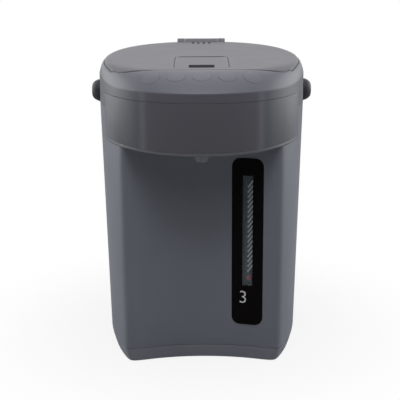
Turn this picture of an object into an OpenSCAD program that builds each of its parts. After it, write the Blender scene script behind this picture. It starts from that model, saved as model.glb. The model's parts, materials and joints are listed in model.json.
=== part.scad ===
// Electric thermo pot with a level gauge, five buttons, a hinged lid and a carrying handle.
// Units are millimetres. +Z is up, -Y is the front, X = 0 is the plane of symmetry.
// The origin is on the floor, under the handle's pivot axis.

/* [Body] */
// Width of the body at the height of the handle pivots
body_w = 200.6; // [192:0.2:210]
// How much narrower each side of the body is at the floor
body_draft = 5.8; // [3:0.2:8]
// Wall of the body sleeve and of the covers
wall = 2.2; // [1.6:0.1:3]
// Height of the pot's top at the rear of the lid
top_h = 288; // [284:0.5:296]
// Depth of the top cover, from the pot's top down to its seam with the body sleeve
cover_depth = 42; // [38:0.5:46]
// Height of the base moulding, up to its seam
base_h = 13.3; // [11:0.1:16]
// Reach of the oval plan in front of its widest line
front_reach = 128; // [122:0.5:134]
// Reach of the oval plan behind its widest line
rear_reach = 127; // [124:0.5:132]
// Radius of the hollow front of the body, in plan
notch_r = 190; // [170:1:220]

/* [Nose and panel] */
// From the pot's top down to the nose housing's lower edge, at its middle
nose_drop = 76; // [70:0.5:82]
// From the pot's top down to the panel's front crease
crease_drop = 19.5; // [17:0.1:22]
// Height of the top cover's front wall, below the crease
front_wall = 8.8; // [7:0.1:11]
// Distance between neighbouring buttons, sideways
button_pitch = 23; // [21:0.5:24]
// Width of a button
button_w = 17; // [14:0.5:18]
// Depth of a button
button_d = 14.4; // [12:0.2:16]
// How far a button travels
button_travel = 0.8; // [0.4:0.1:1.2]
// Radius of the spout nozzle at its tip
nozzle_r = 6; // [5:0.1:7]

/* [Gauge] */
// Width of the black gauge panel
gauge_w = 30.2; // [26:0.2:34]
// Height of the gauge panel's lower edge
gauge_low = 36.4; // [32:0.2:40]
// Space between the gauge panel and the nose housing
gauge_gap = 10.5; // [8:0.5:20]
// Radius of the gauge panel's corners
gauge_corner = 8; // [4:0.5:9]
// Width of the gauge window
window_w = 10; // [9:0.2:12]
// From the gauge panel's lower edge up to the window
window_foot = 39.8; // [34:0.2:46]
// From the window up to the gauge panel's upper edge
window_head = 16.5; // [12:0.5:26]
// Sideways place of the gauge
gauge_x = 43; // [40:0.1:46]
// Outer radius of the level tube
tube_r = 4.5; // [4:0.1:5]

/* [Container] */
// Inner radius of the steel container
container_r = 75; // [70:0.5:77]
// Thickness of the container's steel
container_t = 1; // [0.6:0.1:1.4]
// Height of the container's floor, outside
container_low = 68; // [66:0.5:74]
// From the pot's top down to the container's rim
rim_drop = 30; // [29:0.5:32]

/* [Lid] */
// Gap between the lid and the top cover
lid_gap = 0.5; // [0.4:0.05:0.8]
// Width of the release lever in the lid
lever_w = 51; // [46:0.5:54]
// Width of the lever's finger slot
slot_w = 24; // [20:0.5:28]
// Width of the hinge block
hinge_w = 52; // [46:0.5:56]
// Radius of the hinge pin
hinge_pin_r = 2; // [1.5:0.1:2.5]

/* [Handle] */
// Inner reach of the handle, from its pivots to the grip
handle_reach = 130.4; // [128:0.2:134]
// Width of the grip, as seen from above
grip_w = 13; // [11:0.5:15]
// Thickness of the handle
handle_t = 13; // [10:0.5:15]
// Height of the handle's pivots above the top cover's seam
pivot_rise = 5.5; // [3.5:0.1:6]
// Angle by which the resting handle hangs below level
handle_drop = 20; // [18:1:24]

/* [Hidden] */
$fn = 64;
far = 1000;                     // stands for "no limit" among radii
eps = 0.01;                     // overlap of a cut with the face that it opens
fit = 0.3;                      // gap between covers
touch = 0.05;                   // running clearance of pins, on the radius
tube_wall = 1;                  // wall of the small pipes

// heights that follow the pot's top
seam_h = top_h - cover_depth;
crease_h = top_h - crease_drop;
nose_low = top_h - nose_drop;
nose_seam = crease_h - front_wall;
lid_depth = 19.2;               // from the top down to the underside of the lid's skirt
lid_low = top_h - lid_depth;
lip_drop = 2.8;                 // from there down to the underside of the top cover's inner edge
lip_h = lid_low - lip_drop;
container_rim = top_h - rim_drop;
pivot_h = seam_h + pivot_rise;
gauge_high = nose_low - gauge_gap;
window_low = gauge_low + window_foot;
window_high = gauge_high - window_head;

// plan of the body
half_w = body_w / 2;
centre_y = -9;                  // widest line of the oval
front_n = 2.25;                 // exponent of the oval's front half
rear_n = 2.2;                   // exponent of the oval's rear half
floor_reach = 35;               // the oval's front grows longer by this much down to the floor
floor_n = 0.35;                 // and its exponent falls by this much
front_y = -91;                  // middle of the hollow front
notch_y = front_y - notch_r;    // centre of the hollow front's arc
notch_d = centre_y - notch_y;
corner_p = 24;                  // sharpness of the corners beside the hollow front
rear_y = centre_y + rear_reach;
PHI_LIST = [for (group = [[0:4:24], [26:2:56], [60:5:180]]) for (p = group) p];
PHI = concat(PHI_LIST, [for (i = [len(PHI_LIST) - 2 : -1 : 1]) 360 - PHI_LIST[i]]);

// nose
nose_end_y = -68;               // plane where the nose housing meets the sleeve
nose_rise = 3;                  // how much higher the lower edge is at the nose's ends
nose_arc_r = 85 * 85 / (2 * nose_rise);
under_t = 2.4;                  // thickness of the nose's underplate

// lid and top surface
lid_inset = 5;                  // from the body's outline to the lid's
lid_front_y = -100;
lid_rear_y = 108;
lid_p = 60;                     // sharpness of the lid's corners
lid_bend = 1.23;                // how much the lid's front edge bends back towards its corners
lid_bend_p = 6;                 // how late it does so
lid_bend_end = 0.75;            // sine of the direction where the bend ends
base_t = 2.2;                   // thickness of the lid's base plate
lid_slope = 0.0135;             // the top falls this much per millimetre towards the front
roll_side = 0.78;               // where the edge's roll begins at the sides, as a share of the radius
roll_front_p = 2.2;             // how the panel's curve steepens
roll_side_p = 8.3;              // how the side edge's curve steepens
roll_rear_p = 13;               // how the rear edge's curve steepens
crease_rise = 4.5;              // how much higher the crease is at the sides and behind

// hinge and latch
hinge_y = 112;
hinge_z = top_h - 4;
knuckle_r = 6.9;
ear_r = 7;                      // radius of the hinge block's ears
knuckle_w = hinge_w - 16;       // length of the lid's knuckle
block_front_y = 104.5;
block_rear_y = 120;
lever_front_y = -90;
hub_r = 3.9;                    // the lever's rounded rear edge, about its axis
lever_t = 2.4;
lever_corner = 8;
lever_gap = 0.5;
swing_gap = 0.5;                // more space behind the lever, where its corners swing
lever_axis_y = -17;
lever_rear_y = lever_axis_y + hub_r;
lever_axis_z = plane_z(lever_axis_y) - hub_r;
lever_pin_r = 1;
bearing_x = 22;                 // the lid's two bearings of the lever's pin
bearing_r = 1.9;
bearing_w = 3;
slot_front_y = -87.4;
slot_rear_y = -69.5;
cam_y = -31;                    // cam pin of the lever
cam_z = lid_low + 7.7;
cam_r = 1.5;
bolt_w = 12;
bolt_t = 3;
bolt_low = lid_low + base_t + 0.2;
bolt_tip_y = -104.6;
bolt_end_y = -22;
spring_end_y = -6;
rib_high = lid_low + 12.2;       // top of the bolt's slanting rib

// vertical stack
foot_h = 3;
tray_floor = 5.5;
mouth_low = container_rim + container_t + 2.5;
mouth_t = lip_h - mouth_low;
container_y = 12;
container_or = container_r + container_t;
shield_r = container_or + 9;
flange_r = shield_r + 1;
mouth_r = container_r - 2;

// pump
pump_x = -20;
pump_y = -30;
pump_r = 20;
pump_low = 40;
pump_floor = 2;
chamber_r = 17;
chamber_high = 52;
pump_high = 55;
motor_r = 14;
motor_low = 8;
motor_high = 31;
magnet_low = 33.5;
magnet_high = 38.5;
spindle_r = 1;
impeller_r = 14.5;
blade_n = 6;
stub_r = 4.4;                   // pump's inlet
outlet_r = 3.3;                 // pump's outlet
hose_z = 47;                    // height of the pump's outlet

// gauge, in a frame of its own that faces the hollow front's centre
gauge_turn = asin(gauge_x / notch_r);
gauge_y = notch_y + sqrt(notch_r * notch_r - gauge_x * gauge_x);
panel_t = 2.4;
panel_proud = 0.8;              // the gauge panel stands this far out of the body
tube_back = 8;                  // from the body's face to the tube's axis
tube_low = 52;
tube_high = nose_low + 2;
float_r = 3;
float_low = window_low + 5.2;   // height of the resting float
backing_high = gauge_high - 5;
pipe_z = nose_low + 10;

// handle
handle_in = half_w + 0.9;
eye_r = 10.8;
eye_t = 8.8;
eye_out = handle_in + eye_t;
pin_r = 3.2;
handle_n = 3;

// rear inlet
inlet_z = 42;
inlet_w = 40;
inlet_hh = 25;
inlet_depth = 13;

// ---------------------------------------------------------------- plan of the body

function flat(lists) = [for (part = lists) for (item = part) item];
function smooth(u) = let (v = max(0, min(1, u))) v * v * (3 - 2 * v);
function mix(a, b, k) = a + (b - a) * k;
function soft_min(a, b, p) = pow(pow(a, -p) + pow(b, -p), -1 / p);

// radius of the oval in direction phi, counted from the front, inset from the outer wall;
// share is 0 at the top of the body sleeve and 1 at the floor
function oval_r(phi, inset = 0, share = 0) =
    let (front = cos(phi) >= 0)
    let (n = front ? front_n - floor_n * share : rear_n)
    let (b = (front ? front_reach + floor_reach * share : rear_reach) - inset)
    pow(pow(abs(sin(phi)) / (half_w - inset), n) + pow(abs(cos(phi)) / b, n), -1 / n);

// distance to the hollow front's arc of radius r
function arc_r(phi, r) =
    let (under = r * r - pow(notch_d * sin(phi), 2))
    cos(phi) > 0 && under > 0 ? notch_d * cos(phi) - sqrt(under) : far;

// radius of the body sleeve; depth is how far inside the outer face the line lies, and tuck is
// a further inset of all but the hollow front
function body_r(phi, draft, depth = 0, tuck = 0) = soft_min(
    oval_r(phi, draft + depth + tuck, draft / body_draft), arc_r(phi, notch_r + depth), corner_p);

function draft_at(z) = body_draft * max(0, seam_h - z) / seam_h;
function at(phi, r, z) = [r * sin(phi), centre_y - r * cos(phi), z];
function plan(radii) = [for (i = [0 : len(PHI) - 1]) at(PHI[i], radii[i], 0)];
function flat_plan(radii) = [for (p = plan(radii)) [p.x, p.y]];

// ---------------------------------------------------------------- top surface

// distance to a straight line across the plan, in front of or behind the widest line
function line_r(phi, dist) = cos(phi) * dist > abs(dist) * 0.05 ? dist / cos(phi) : far;

// distance to the lid's front edge
function lid_front_r(phi, inset) = line_r(phi, centre_y - lid_front_y - inset)
    * (1 - lid_bend * pow(min(abs(sin(phi)), lid_bend_end), lid_bend_p));

function lid_r(phi, inset = 0) = soft_min(
    soft_min(oval_r(phi, lid_inset + inset), lid_front_r(phi, inset), lid_p),
    line_r(phi, centre_y - lid_rear_y + inset), lid_p);

function plane_z(y) = top_h - lid_slope * (rear_y - y);
function roll_start(phi) =
    min(roll_side, line_r(phi, centre_y - lid_front_y) / oval_r(phi));
function from_front(phi) = abs(phi > 180 ? 360 - phi : phi);
function roll_p(phi) =
    let (side = pow(max(0, min(1, (from_front(phi) - 20) / 42)), 1.8))
    let (rear = smooth((from_front(phi) - 110) / 50))
    mix(mix(roll_front_p, roll_side_p, side), roll_rear_p, rear);
function crease_z(phi) = crease_h + crease_rise * smooth((from_front(phi) - 38) / 32);

// height of the pot's top surface in direction phi at radius r
function top_z(phi, r) =
    let (edge = oval_r(phi))
    let (start = roll_start(phi))
    let (u = max(0, (min(1, r / edge) - start) / (1 - start)))
    let (fall = plane_z(centre_y - edge * cos(phi)) - crease_z(phi))
    plane_z(centre_y - r * cos(phi)) - fall * pow(u, roll_p(phi));

// the same surface over a point of the plan
function surface_z(x, y) = top_z(atan2(x, centre_y - y), norm([x, y - centre_y]));

// ---------------------------------------------------------------- solids from rings

function middle(ring) = ([for (p = ring) 1] * ring) / len(ring);

// triangles between each of m rings of n points and the next, for the first `bands` rings
function side_faces(n, m, bands) = [
    for (k = [0 : bands - 1]) for (i = [0 : n - 1])
        let (a = k * n + i, b = k * n + (i + 1) % n)
        let (c = ((k + 1) % m) * n + i, d = ((k + 1) % m) * n + (i + 1) % n)
        for (face = [[a, c, d], [a, d, b]]) face];

// a solid from rings of equal length, each running anticlockwise as seen from above
module stack(rings) {
    n = len(rings[0]);
    m = len(rings);
    polyhedron(
        points = concat(flat(rings), [middle(rings[0]), middle(rings[m - 1])]),
        faces = concat(
            [for (i = [0 : n - 1]) [n * m, i, (i + 1) % n]],
            side_faces(n, m, m - 1),
            [for (i = [0 : n - 1]) [n * m + 1, (m - 1) * n + (i + 1) % n, (m - 1) * n + i]]),
        convexity = 6);
}

// a closed ring-shaped solid whose rings run round its section
module hoop(rings) {
    n = len(rings[0]);
    m = len(rings);
    polyhedron(
        points = flat(rings),
        faces = side_faces(n, m, m),
        convexity = 6);
}

module tube(r_out, r_in, h) {
    difference() {
        cylinder(r = r_out, h = h);
        translate([0, 0, -eps]) cylinder(r = r_in, h = h + 2 * eps);
    }
}

module round_slab(w, d, h, r) {
    linear_extrude(height = h) soft_rect(w, d, r);
}

// a rectangle with round corners, centred
module soft_rect(w, d, r) {
    square([w - 2 * r, d], center = true);
    square([w, d - 2 * r], center = true);
    for (sx = [-1, 1], sy = [-1, 1])
        translate([sx * (w / 2 - r), sy * (d / 2 - r)]) circle(r = r, $fn = 32);
}

// a bar of round section between two points
module rod(a, b, r) {
    v = b - a;
    translate(a)
        rotate([0, acos(v.z / norm(v)), atan2(v.y, v.x)])
            cylinder(r = r, h = norm(v));
}

// ---------------------------------------------------------------- base

tuck = 3.5;                     // how much the base draws in towards the floor
tray_low = 1;
TUCKS = [[tray_low, 1], [tray_low + 3, 0.71], [tray_low + 7, 0.36], [base_h, 0]];

module base_tray() {
    color("#5f6168")
    difference() {
        stack([for (s = TUCKS) [for (p = PHI) at(p, body_r(p, draft_at(base_h), 0, tuck * s[1]), s[0])]]);
        translate([0, 0, tray_floor])
            linear_extrude(height = base_h)
                polygon(flat_plan([for (p = PHI) body_r(p, draft_at(base_h), wall, tuck)]));
        for (f = FEET) translate([f.x, f.y, -eps]) cylinder(r = foot_r + fit, h = foot_h);
        for (f = FEET) translate([f.x, f.y, foot_h + screw_head + eps]) cylinder(r = screw_r, h = base_h);
    }
    color("#5f6168")
    for (f = FEET)
        translate([f.x, f.y, tray_floor - eps])
            tube(screw_r + 2.5, screw_r, base_h - tray_floor);
}

foot_r = 8;
screw_r = 1.6;
screw_head = 1;
FEET = [[60, -60], [-60, -60], [50, 76], [-50, 76]];

module base_feet() {
    color("#1d1d20")
    for (f = FEET) translate([f.x, f.y, 0]) {
        cylinder(r = foot_r - 1, h = 1);
        translate([0, 0, 1]) cylinder(r = foot_r, h = foot_h - 1 - eps * 2);
    }
}

module base_screws() {
    color("silver")
    for (f = FEET) translate([f.x, f.y, tray_floor]) cylinder(r = screw_r - touch, h = 11);
}

// ---------------------------------------------------------------- shells

module nose_zone(extra = 0) {
    // the space of the nose housing: in front of its end plane and above its curved lower edge
    intersection() {
        translate([-far / 2, -far, nose_low - 10])
            cube([far, far + nose_end_y, nose_seam - nose_low + 60]);
        translate([0, 0, nose_low + nose_arc_r])
            rotate([90, 0, 0])
                translate([0, 0, -nose_end_y - 5])
                    cylinder(r = nose_arc_r + extra, h = front_reach, $fn = 200);
    }
}

module body_sleeve() {
    low = base_h + fit;
    high = seam_h - fit;
    levels = [for (k = [0 : 3]) mix(low, high, k / 3)];
    color("#6b6d75")
    difference() {
        hoop(concat(
            [for (z = levels) [for (p = PHI) at(p, body_r(p, draft_at(z)), z)]],
            [for (k = [3 : -1 : 0]) let (z = levels[k]) [for (p = PHI) at(p, body_r(p, draft_at(z), wall), z)]]));
        nose_zone(fit);
        gauge_frame() translate([-gauge_w / 2 + 4, -5, gauge_low + 4])
            cube([gauge_w - 8, 20, gauge_high - gauge_low - 8]);
        gauge_frame() translate([0, panel_t - panel_proud + touch, (gauge_low + gauge_high) / 2])
            rotate([90, 0, 0])
                round_slab(gauge_w + 0.2, gauge_high - gauge_low + 0.2, 10, gauge_corner + 0.1);
        translate([-inlet_w / 2 - touch, rear_y - 20, inlet_z - inlet_hh / 2 - touch])
            cube([inlet_w + 2 * touch, 30, inlet_hh + 2 * touch]);
    }
}

rim_fall = 0.4;                 // the top cover's inner edge lies this much below the lid's

module top_cover() {
    cavity = [for (p = PHI) let (w = oval_r(p) - lid_r(p, -lid_gap))
        max(0, min(1, (w - 3 * wall) / 8))];
    open = [for (p = PHI) lid_r(p, -lid_gap)];
    edge = [for (p = PHI) oval_r(p)];
    steps = [0.1, 0.3, 0.5, 0.75, 0.96];
    color("#7d7f87")
    difference() {
        hoop(concat(
            [[for (i = idx(PHI)) at(PHI[i], edge[i], seam_h)],
             [for (i = idx(PHI)) at(PHI[i], edge[i], crease_z(PHI[i]))]],
            [for (s = steps) [for (i = idx(PHI))
                let (r = mix(edge[i], open[i], s)) at(PHI[i], r, top_z(PHI[i], r))]],
            [[for (i = idx(PHI)) at(PHI[i], open[i], top_z(PHI[i], open[i]) - rim_fall)],
             [for (i = idx(PHI)) at(PHI[i], open[i], lip_h)],
             [for (i = idx(PHI)) at(PHI[i], open[i] + lip_w(edge[i] - open[i]), lip_h)],
             [for (i = idx(PHI)) let (r = open[i] + lip_w(edge[i] - open[i]))
                at(PHI[i], r, mix(lip_h, top_z(PHI[i], r) - wall, cavity[i]))],
             [for (i = idx(PHI)) let (r = mix(edge[i], open[i], 0.5))
                at(PHI[i], r, mix(lip_h, top_z(PHI[i], r) - wall * 1.1, cavity[i]))],
             [for (i = idx(PHI)) at(PHI[i], edge[i] - wall, min(lip_h, crease_z(PHI[i]) - wall))],
             [for (i = idx(PHI)) at(PHI[i], edge[i] - wall, seam_h)]]));
        // the nose housing's place
        translate([-far / 2, nose_end_y - far, 0]) cube([far, far, nose_seam + fit]);
        // button holes
        for (b = [0 : 4]) on_panel(b) translate([0, 0, -12])
            linear_extrude(height = 24) ellipse(button_w / 2 + fit, button_d / 2 + fit);
        // pocket for the hinge block
        translate([-hinge_w / 2 - fit, block_front_y - fit, lip_h - 6])
            cube([hinge_w + 2 * fit, 40, 60]);
        // strike for the latch bolt
        translate([-bolt_w / 2 - fit, bolt_tip_y - 3, bolt_low - fit])
            cube([bolt_w + 2 * fit, 12, bolt_t + 2 * fit]);
        // pivot holes of the handle
        for (s = [-1, 1]) translate([0, 0, pivot_h]) rotate([0, s * 90, 0])
            translate([0, 0, half_w - 12]) cylinder(r = pin_r + touch, h = 20);
    }
}

function idx(list) = [0 : len(list) - 1];
function lip_w(w) = min(wall, w / 3);

module ellipse(a, b, n = 40) {
    polygon([for (i = [0 : n - 1]) [a * cos(i * 360 / n), b * sin(i * 360 / n)]]);
}

module nose_plan(outer, inner) {
    difference() {
        polygon(flat_plan([for (p = PHI) oval_r(p, outer)]));
        if (inner > 0) polygon(flat_plan([for (p = PHI) oval_r(p, inner)]));
        translate([-far / 2, nose_end_y - fit]) square([far, far]);
    }
}

module nose_cover() {
    color("#4a4a50")
    intersection() {
        translate([0, 0, nose_low - 5])
            linear_extrude(height = nose_seam - nose_low + 5) nose_plan(0, wall);
        translate([0, 0, under_t + touch]) nose_zone(0);
    }
}

module nose_underplate() {
    color("#55565c")
    difference() {
        intersection() {
            translate([0, 0, nose_low - 5])
                linear_extrude(height = 20)
                    difference() {
                        nose_plan(0, 0);
                        polygon(flat_plan([for (p = PHI) body_r(p, draft_at(nose_low), wall - 0.2)]));
                    }
            nose_zone(0);
        }
        translate([0, 0, under_t]) nose_zone(0);
        translate([0, nozzle_y, nose_low - 10]) cylinder(r = nozzle_top_r + touch, h = 30);
    }
}

nozzle_y = -116;
nozzle_top_r = 8.2;
nozzle_low = nose_low - 8.5;
nozzle_cone = 5.5;              // height of the nozzle's conical tip

// ---------------------------------------------------------------- container and heater

module mouth_ring() {
    color("#c9c9cc")
    translate([0, 0, mouth_low])
    difference() {
        linear_extrude(height = mouth_t)
            polygon(flat_plan([for (p = PHI) let (open = lid_r(p, -lid_gap))
                open + 0.8 * lip_w(oval_r(p) - open)]));
        translate([0, container_y, -eps]) cylinder(r = mouth_r, h = mouth_t + 2 * eps);
        translate([-hinge_w / 2 - fit, block_front_y - fit, -eps]) cube([hinge_w + 2 * fit, 40, 60]);
    }
}

module inner_container() {
    t = container_t;
    color("silver")
    translate([0, container_y, 0])
    difference() {
        rotate_extrude() polygon([
            [0, container_low], [container_r - 6, container_low],
            [container_or, container_low + 7],
            [container_or, container_rim], [flange_r, container_rim],
            [flange_r, container_rim + t], [container_r, container_rim + t],
            [container_r, container_low + 7.4], [container_r - 6.4, container_low + t],
            [0, container_low + t]]);
        translate([pump_x, pump_y - container_y, container_low - eps])
            cylinder(r = stub_r - tube_wall, h = 3);
    }
    color("silver")
    translate([pump_x, pump_y, container_low - 6])
        tube(stub_r, stub_r - tube_wall, 6 + t);
}

module container_seal() {
    color("#d8d8d8")
    translate([0, container_y, container_rim + container_t])
        tube(container_or + 6, container_r + 0.5, mouth_low - container_rim - container_t);
}

module heat_shield() {
    color("#9a9ca0")
    translate([0, container_y, container_low - 14])
        tube(shield_r, shield_r - 0.6, container_rim - container_low + 14 - 0.1);
}

band_foot = 10;                 // from the container's floor up to the heater band
band_h = 34;

module heater_band() {
    color("#b08d57")
    translate([0, container_y, 0]) {
        translate([0, 0, container_low + band_foot]) tube(container_or + 2.5, container_or + touch, band_h);
        for (s = [-1, 1]) translate([s * 6 - 2, container_or + 2, container_low + band_foot + band_h / 3])
            cube([4, 5, 8]);
    }
}

module thermostat() {
    color("#3b2f2a")
    translate([20, 22, container_low - 8]) cylinder(r = 7, h = 8);
    color("silver")
    translate([20, 22, container_low - 2]) tube(10, 7, 2);
}

// ---------------------------------------------------------------- pump

module pump_motor() {
    color("#aeb0b4")
    translate([pump_x, pump_y, 0]) {
        translate([0, 0, motor_low]) cylinder(r = motor_r, h = motor_high - motor_low);
        translate([0, 0, motor_high - 1]) cylinder(r = spindle_r, h = magnet_high - motor_high);
    }
}

module motor_bracket() {
    color("#8d8f93")
    translate([pump_x, pump_y, tray_floor])
    difference() {
        union() {
            cylinder(r = motor_r + 3, h = motor_low - tray_floor);
            tube(pump_r + 2, pump_r - 1, pump_low - tray_floor);
        }
        translate([0, 0, motor_low - tray_floor]) cylinder(r = pump_r - 1, h = 40);
    }
}

module pump_housing() {
    color("#e6e6e2")
    translate([pump_x, pump_y, 0])
    difference() {
        union() {
            translate([0, 0, pump_low]) cylinder(r = pump_r, h = chamber_high - pump_low);
            translate([0, 0, hose_z]) rotate([90, 0, 0]) cylinder(r = outlet_r, h = pump_r + 9);
        }
        translate([0, 0, pump_low + pump_floor]) cylinder(r = chamber_r, h = 20);
        translate([0, 0, hose_z]) rotate([90, 0, 0])
            translate([0, 0, 5]) cylinder(r = outlet_r - tube_wall, h = pump_r + 10);
    }
}

module pump_cover() {
    color("#dcdcd8")
    translate([pump_x, pump_y, chamber_high])
    difference() {
        union() {
            cylinder(r = pump_r, h = pump_high - chamber_high);
            cylinder(r = stub_r, h = container_low - 6.5 - chamber_high);
        }
        translate([0, 0, -eps]) cylinder(r = stub_r - tube_wall, h = 30);
    }
}

module impeller() {
    color("#f0f0ee")
    translate([pump_x, pump_y, pump_low + pump_floor + 0.6])
    difference() {
        union() {
            cylinder(r = impeller_r, h = 3);
            for (i = [0 : blade_n - 1]) rotate([0, 0, i * 360 / blade_n])
                translate([3, -0.7, 2]) cube([impeller_r - 4, 1.4, 5]);
            cylinder(r = 4, h = 7);
        }
        translate([0, 0, -eps]) cylinder(r = spindle_r + touch, h = 20);
    }
}

module impeller_shaft() {
    color("silver")
    translate([pump_x, pump_y, pump_low + pump_floor]) cylinder(r = spindle_r, h = 8.4);
}

module drive_magnet() {
    color("#4a4a4d")
    translate([pump_x, pump_y, magnet_low])
        tube(12, spindle_r + touch, magnet_high - magnet_low);
}

module inlet_hose() {
    color("#e8e8e0")
    translate([pump_x, pump_y, pump_high + fit])
        tube(stub_r + 1.8, stub_r + touch, container_low - pump_high - 2 * fit);
}

hose_r = outlet_r + 1.8;

module riser_hose() {
    bore = outlet_r - tube_wall;
    start = [pump_x, pump_y - pump_r - 0.5, hose_z];
    end = gauge_point(-tube_r - 2, tube_back, hose_z);
    corner = [pump_x, end.y + (end.x - pump_x) * tan(gauge_turn), hose_z];
    color("#e8e8e0")
    difference() {
        union() {
            rod(start, corner, hose_r);
            rod(end, corner, hose_r);
            translate(corner) cylinder(r = hose_r + 0.8, h = 2 * hose_r + 1, center = true);
        }
        for (ends = [[start, 9], [end, 7.5]]) {
            way = (corner - ends[0]) / norm(corner - ends[0]);
            rod(ends[0] - way, corner, bore);
            rod(ends[0] - way, ends[0] + way * ends[1], outlet_r + touch);
        }
        translate(corner) cylinder(r = bore + 0.6, h = 2 * bore + 1.2, center = true);
    }
}

// ---------------------------------------------------------------- gauge

// a point u to the right and v behind the middle of the gauge, on the face's own directions
function gauge_point(u, v, z) = [
    gauge_x + u * cos(gauge_turn) + v * sin(gauge_turn),
    gauge_y - u * sin(gauge_turn) + v * cos(gauge_turn), z];

// a frame on the hollow front: X along the face, Y into the pot
module gauge_frame() {
    translate([gauge_x, gauge_y, 0]) rotate([0, 0, -gauge_turn]) children();
}

module gauge_panel() {
    color("#08080a")
    gauge_frame()
    difference() {
        translate([0, panel_t - panel_proud, (gauge_low + gauge_high) / 2]) rotate([90, 0, 0])
            round_slab(gauge_w, gauge_high - gauge_low, panel_t, gauge_corner);
        translate([-window_w / 2, -10, window_low]) cube([window_w, 20, window_high - window_low]);
    }
}

module gauge_window() {
    color("#9fb4bf", 0.4)
    gauge_frame()
        translate([-window_w / 2 + touch, -panel_proud + 0.2, window_low + touch])
            cube([window_w - 2 * touch, 1.6, window_high - window_low - 2 * touch]);
}

module gauge_backing() {
    color("#3c4a55")
    gauge_frame() {
        translate([-10, tube_back + tube_r + 0.4, tube_low + 4])
            cube([20, 1.4, backing_high - tube_low - 4]);
        for (s = [-1, 1]) translate([s * 9.2 - 0.8, panel_t - panel_proud + 0.1, tube_low + 4])
            cube([1.6, tube_back + tube_r + 0.4 - panel_t + panel_proud, backing_high - tube_low - 4]);
    }
}

module gauge_tube() {
    bore = tube_r - tube_wall;
    narrow = bore - 1.1;
    ledge = float_low - sqrt(float_r * float_r - narrow * narrow) - touch;
    color("#cfe0e6", 0.4)
    gauge_frame() translate([0, tube_back, 0])
    difference() {
        translate([0, 0, tube_low]) cylinder(r = tube_r, h = tube_high - tube_low);
        translate([0, 0, tube_low - eps]) cylinder(r = narrow, h = 50);
        translate([0, 0, ledge]) cylinder(r = bore, h = tube_high);
    }
}

module gauge_fittings() {
    cup_r = tube_r + 1.1;
    color("#e0e0dc")
    gauge_frame() translate([0, tube_back, 0])
    difference() {
        union() {
            translate([0, 0, hose_z - 5.5]) cylinder(r = cup_r, h = tube_low + 4 - hose_z + 5.5);
            translate([0, 0, hose_z]) rotate([0, -90, 0]) cylinder(r = outlet_r, h = tube_r + 9);
        }
        translate([0, 0, tube_low]) cylinder(r = tube_r + touch, h = 20);
        translate([0, 0, hose_z - 3]) cylinder(r = outlet_r - tube_wall, h = 20);
        translate([0, 0, hose_z]) rotate([0, -90, 0]) cylinder(r = outlet_r - tube_wall, h = 20);
    }
    color("#e0e0dc")
    difference() {
        translate(gauge_point(0, tube_back, tube_high - 4))
            cylinder(r = cup_r, h = pipe_z - tube_high + 9.5);
        translate(gauge_point(0, tube_back, tube_high - 10))
            cylinder(r = tube_r + touch, h = 10);
        translate(gauge_point(0, tube_back, tube_high - eps))
            cylinder(r = spout_bore, h = pipe_z - tube_high + 3);
        rod(gauge_point(0, tube_back, pipe_z), [0, nozzle_y, pipe_z], spout_bore);
    }
}

spout_r = 4;
spout_bore = 2.6;

module level_float() {
    color("#d0202c")
    gauge_frame() translate([0, tube_back, float_low]) sphere(r = float_r);
}

module spout_pipe() {
    top = gauge_point(0, tube_back, pipe_z);
    nozzle = [0, nozzle_y, pipe_z];
    way = (nozzle - top) / norm(nozzle - top);
    color("#e0e0dc")
    difference() {
        rod(top + way * (tube_r + 1.6), nozzle - way * 5, spout_r);
        rod(top, nozzle, spout_bore);
    }
}

module spout_nozzle() {
    color("#77787e")
    translate([0, nozzle_y, 0])
    difference() {
        union() {
            translate([0, 0, nozzle_low]) cylinder(r1 = nozzle_r, r2 = nozzle_top_r, h = nozzle_cone);
            translate([0, 0, nozzle_low + nozzle_cone])
                cylinder(r = nozzle_top_r, h = pipe_z + 6.5 - nozzle_low - nozzle_cone);
        }
        translate([0, 0, nozzle_low - eps]) cylinder(r = nozzle_r - 1.4, h = pipe_z + 3 - nozzle_low);
        rod([0, 0, pipe_z], gauge_point(0, tube_back, pipe_z) - [0, nozzle_y, 0], spout_r + touch);
    }
}

// ---------------------------------------------------------------- electrics

board_z = 18;
board_t = 1.6;
board_x = 18;                   // the power board's left and front edges
board_y = -20;
board_wide = 58;
board_long = 72;
board_edge = 6;                 // from the board's edges to its legs

module power_board() {
    color("#2f6b3c")
    translate([board_x, board_y, board_z]) cube([board_wide, board_long, board_t]);
    color("#d8d8d4")
    for (x = [board_edge, board_wide - board_edge], y = [board_edge, board_long - board_edge])
        translate([board_x + x, board_y + y, tray_floor]) cylinder(r = 3, h = board_z - tray_floor);
}

module board_components() {
    color("#26282c")
    translate([board_x, board_y, board_z + board_t]) {
        translate([12, 38, 0]) cube([22, 26, 18]);
        translate([39, 42, 0]) cube([14, 20, 15]);
        translate([48, 20, 0]) cylinder(r = 6, h = 20);
        translate([30, 14, 0]) cylinder(r = 5, h = 16);
        translate([8, 8, 0]) cube([12, 22, 9]);
    }
}

inlet_y = rear_y - 3.6;         // outer face of the inlet's frame

module power_inlet() {
    color("#2b2b2e")
    difference() {
        translate([-inlet_w / 2, inlet_y - inlet_depth, inlet_z - inlet_hh / 2])
            cube([inlet_w, inlet_depth, inlet_hh]);
        translate([-inlet_w / 2 + 3, inlet_y - inlet_depth + 3, inlet_z - inlet_hh / 2 + 3])
            cube([inlet_w - 6, inlet_depth, inlet_hh - 6]);
        for (s = [-1, 1]) translate([s * 7, inlet_y - 5, inlet_z]) rotate([90, 0, 0])
            cylinder(r = 2, h = 20);
    }
    color("#2b2b2e")
    translate([-inlet_w / 2 - 3, inlet_y - inlet_depth - 0.1, inlet_z - inlet_hh / 2 - 3])
        difference() {
            cube([inlet_w + 6, 2, inlet_hh + 6]);
            translate([4, -1, 4]) cube([inlet_w - 2, 4, inlet_hh - 2]);
        }
}

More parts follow.
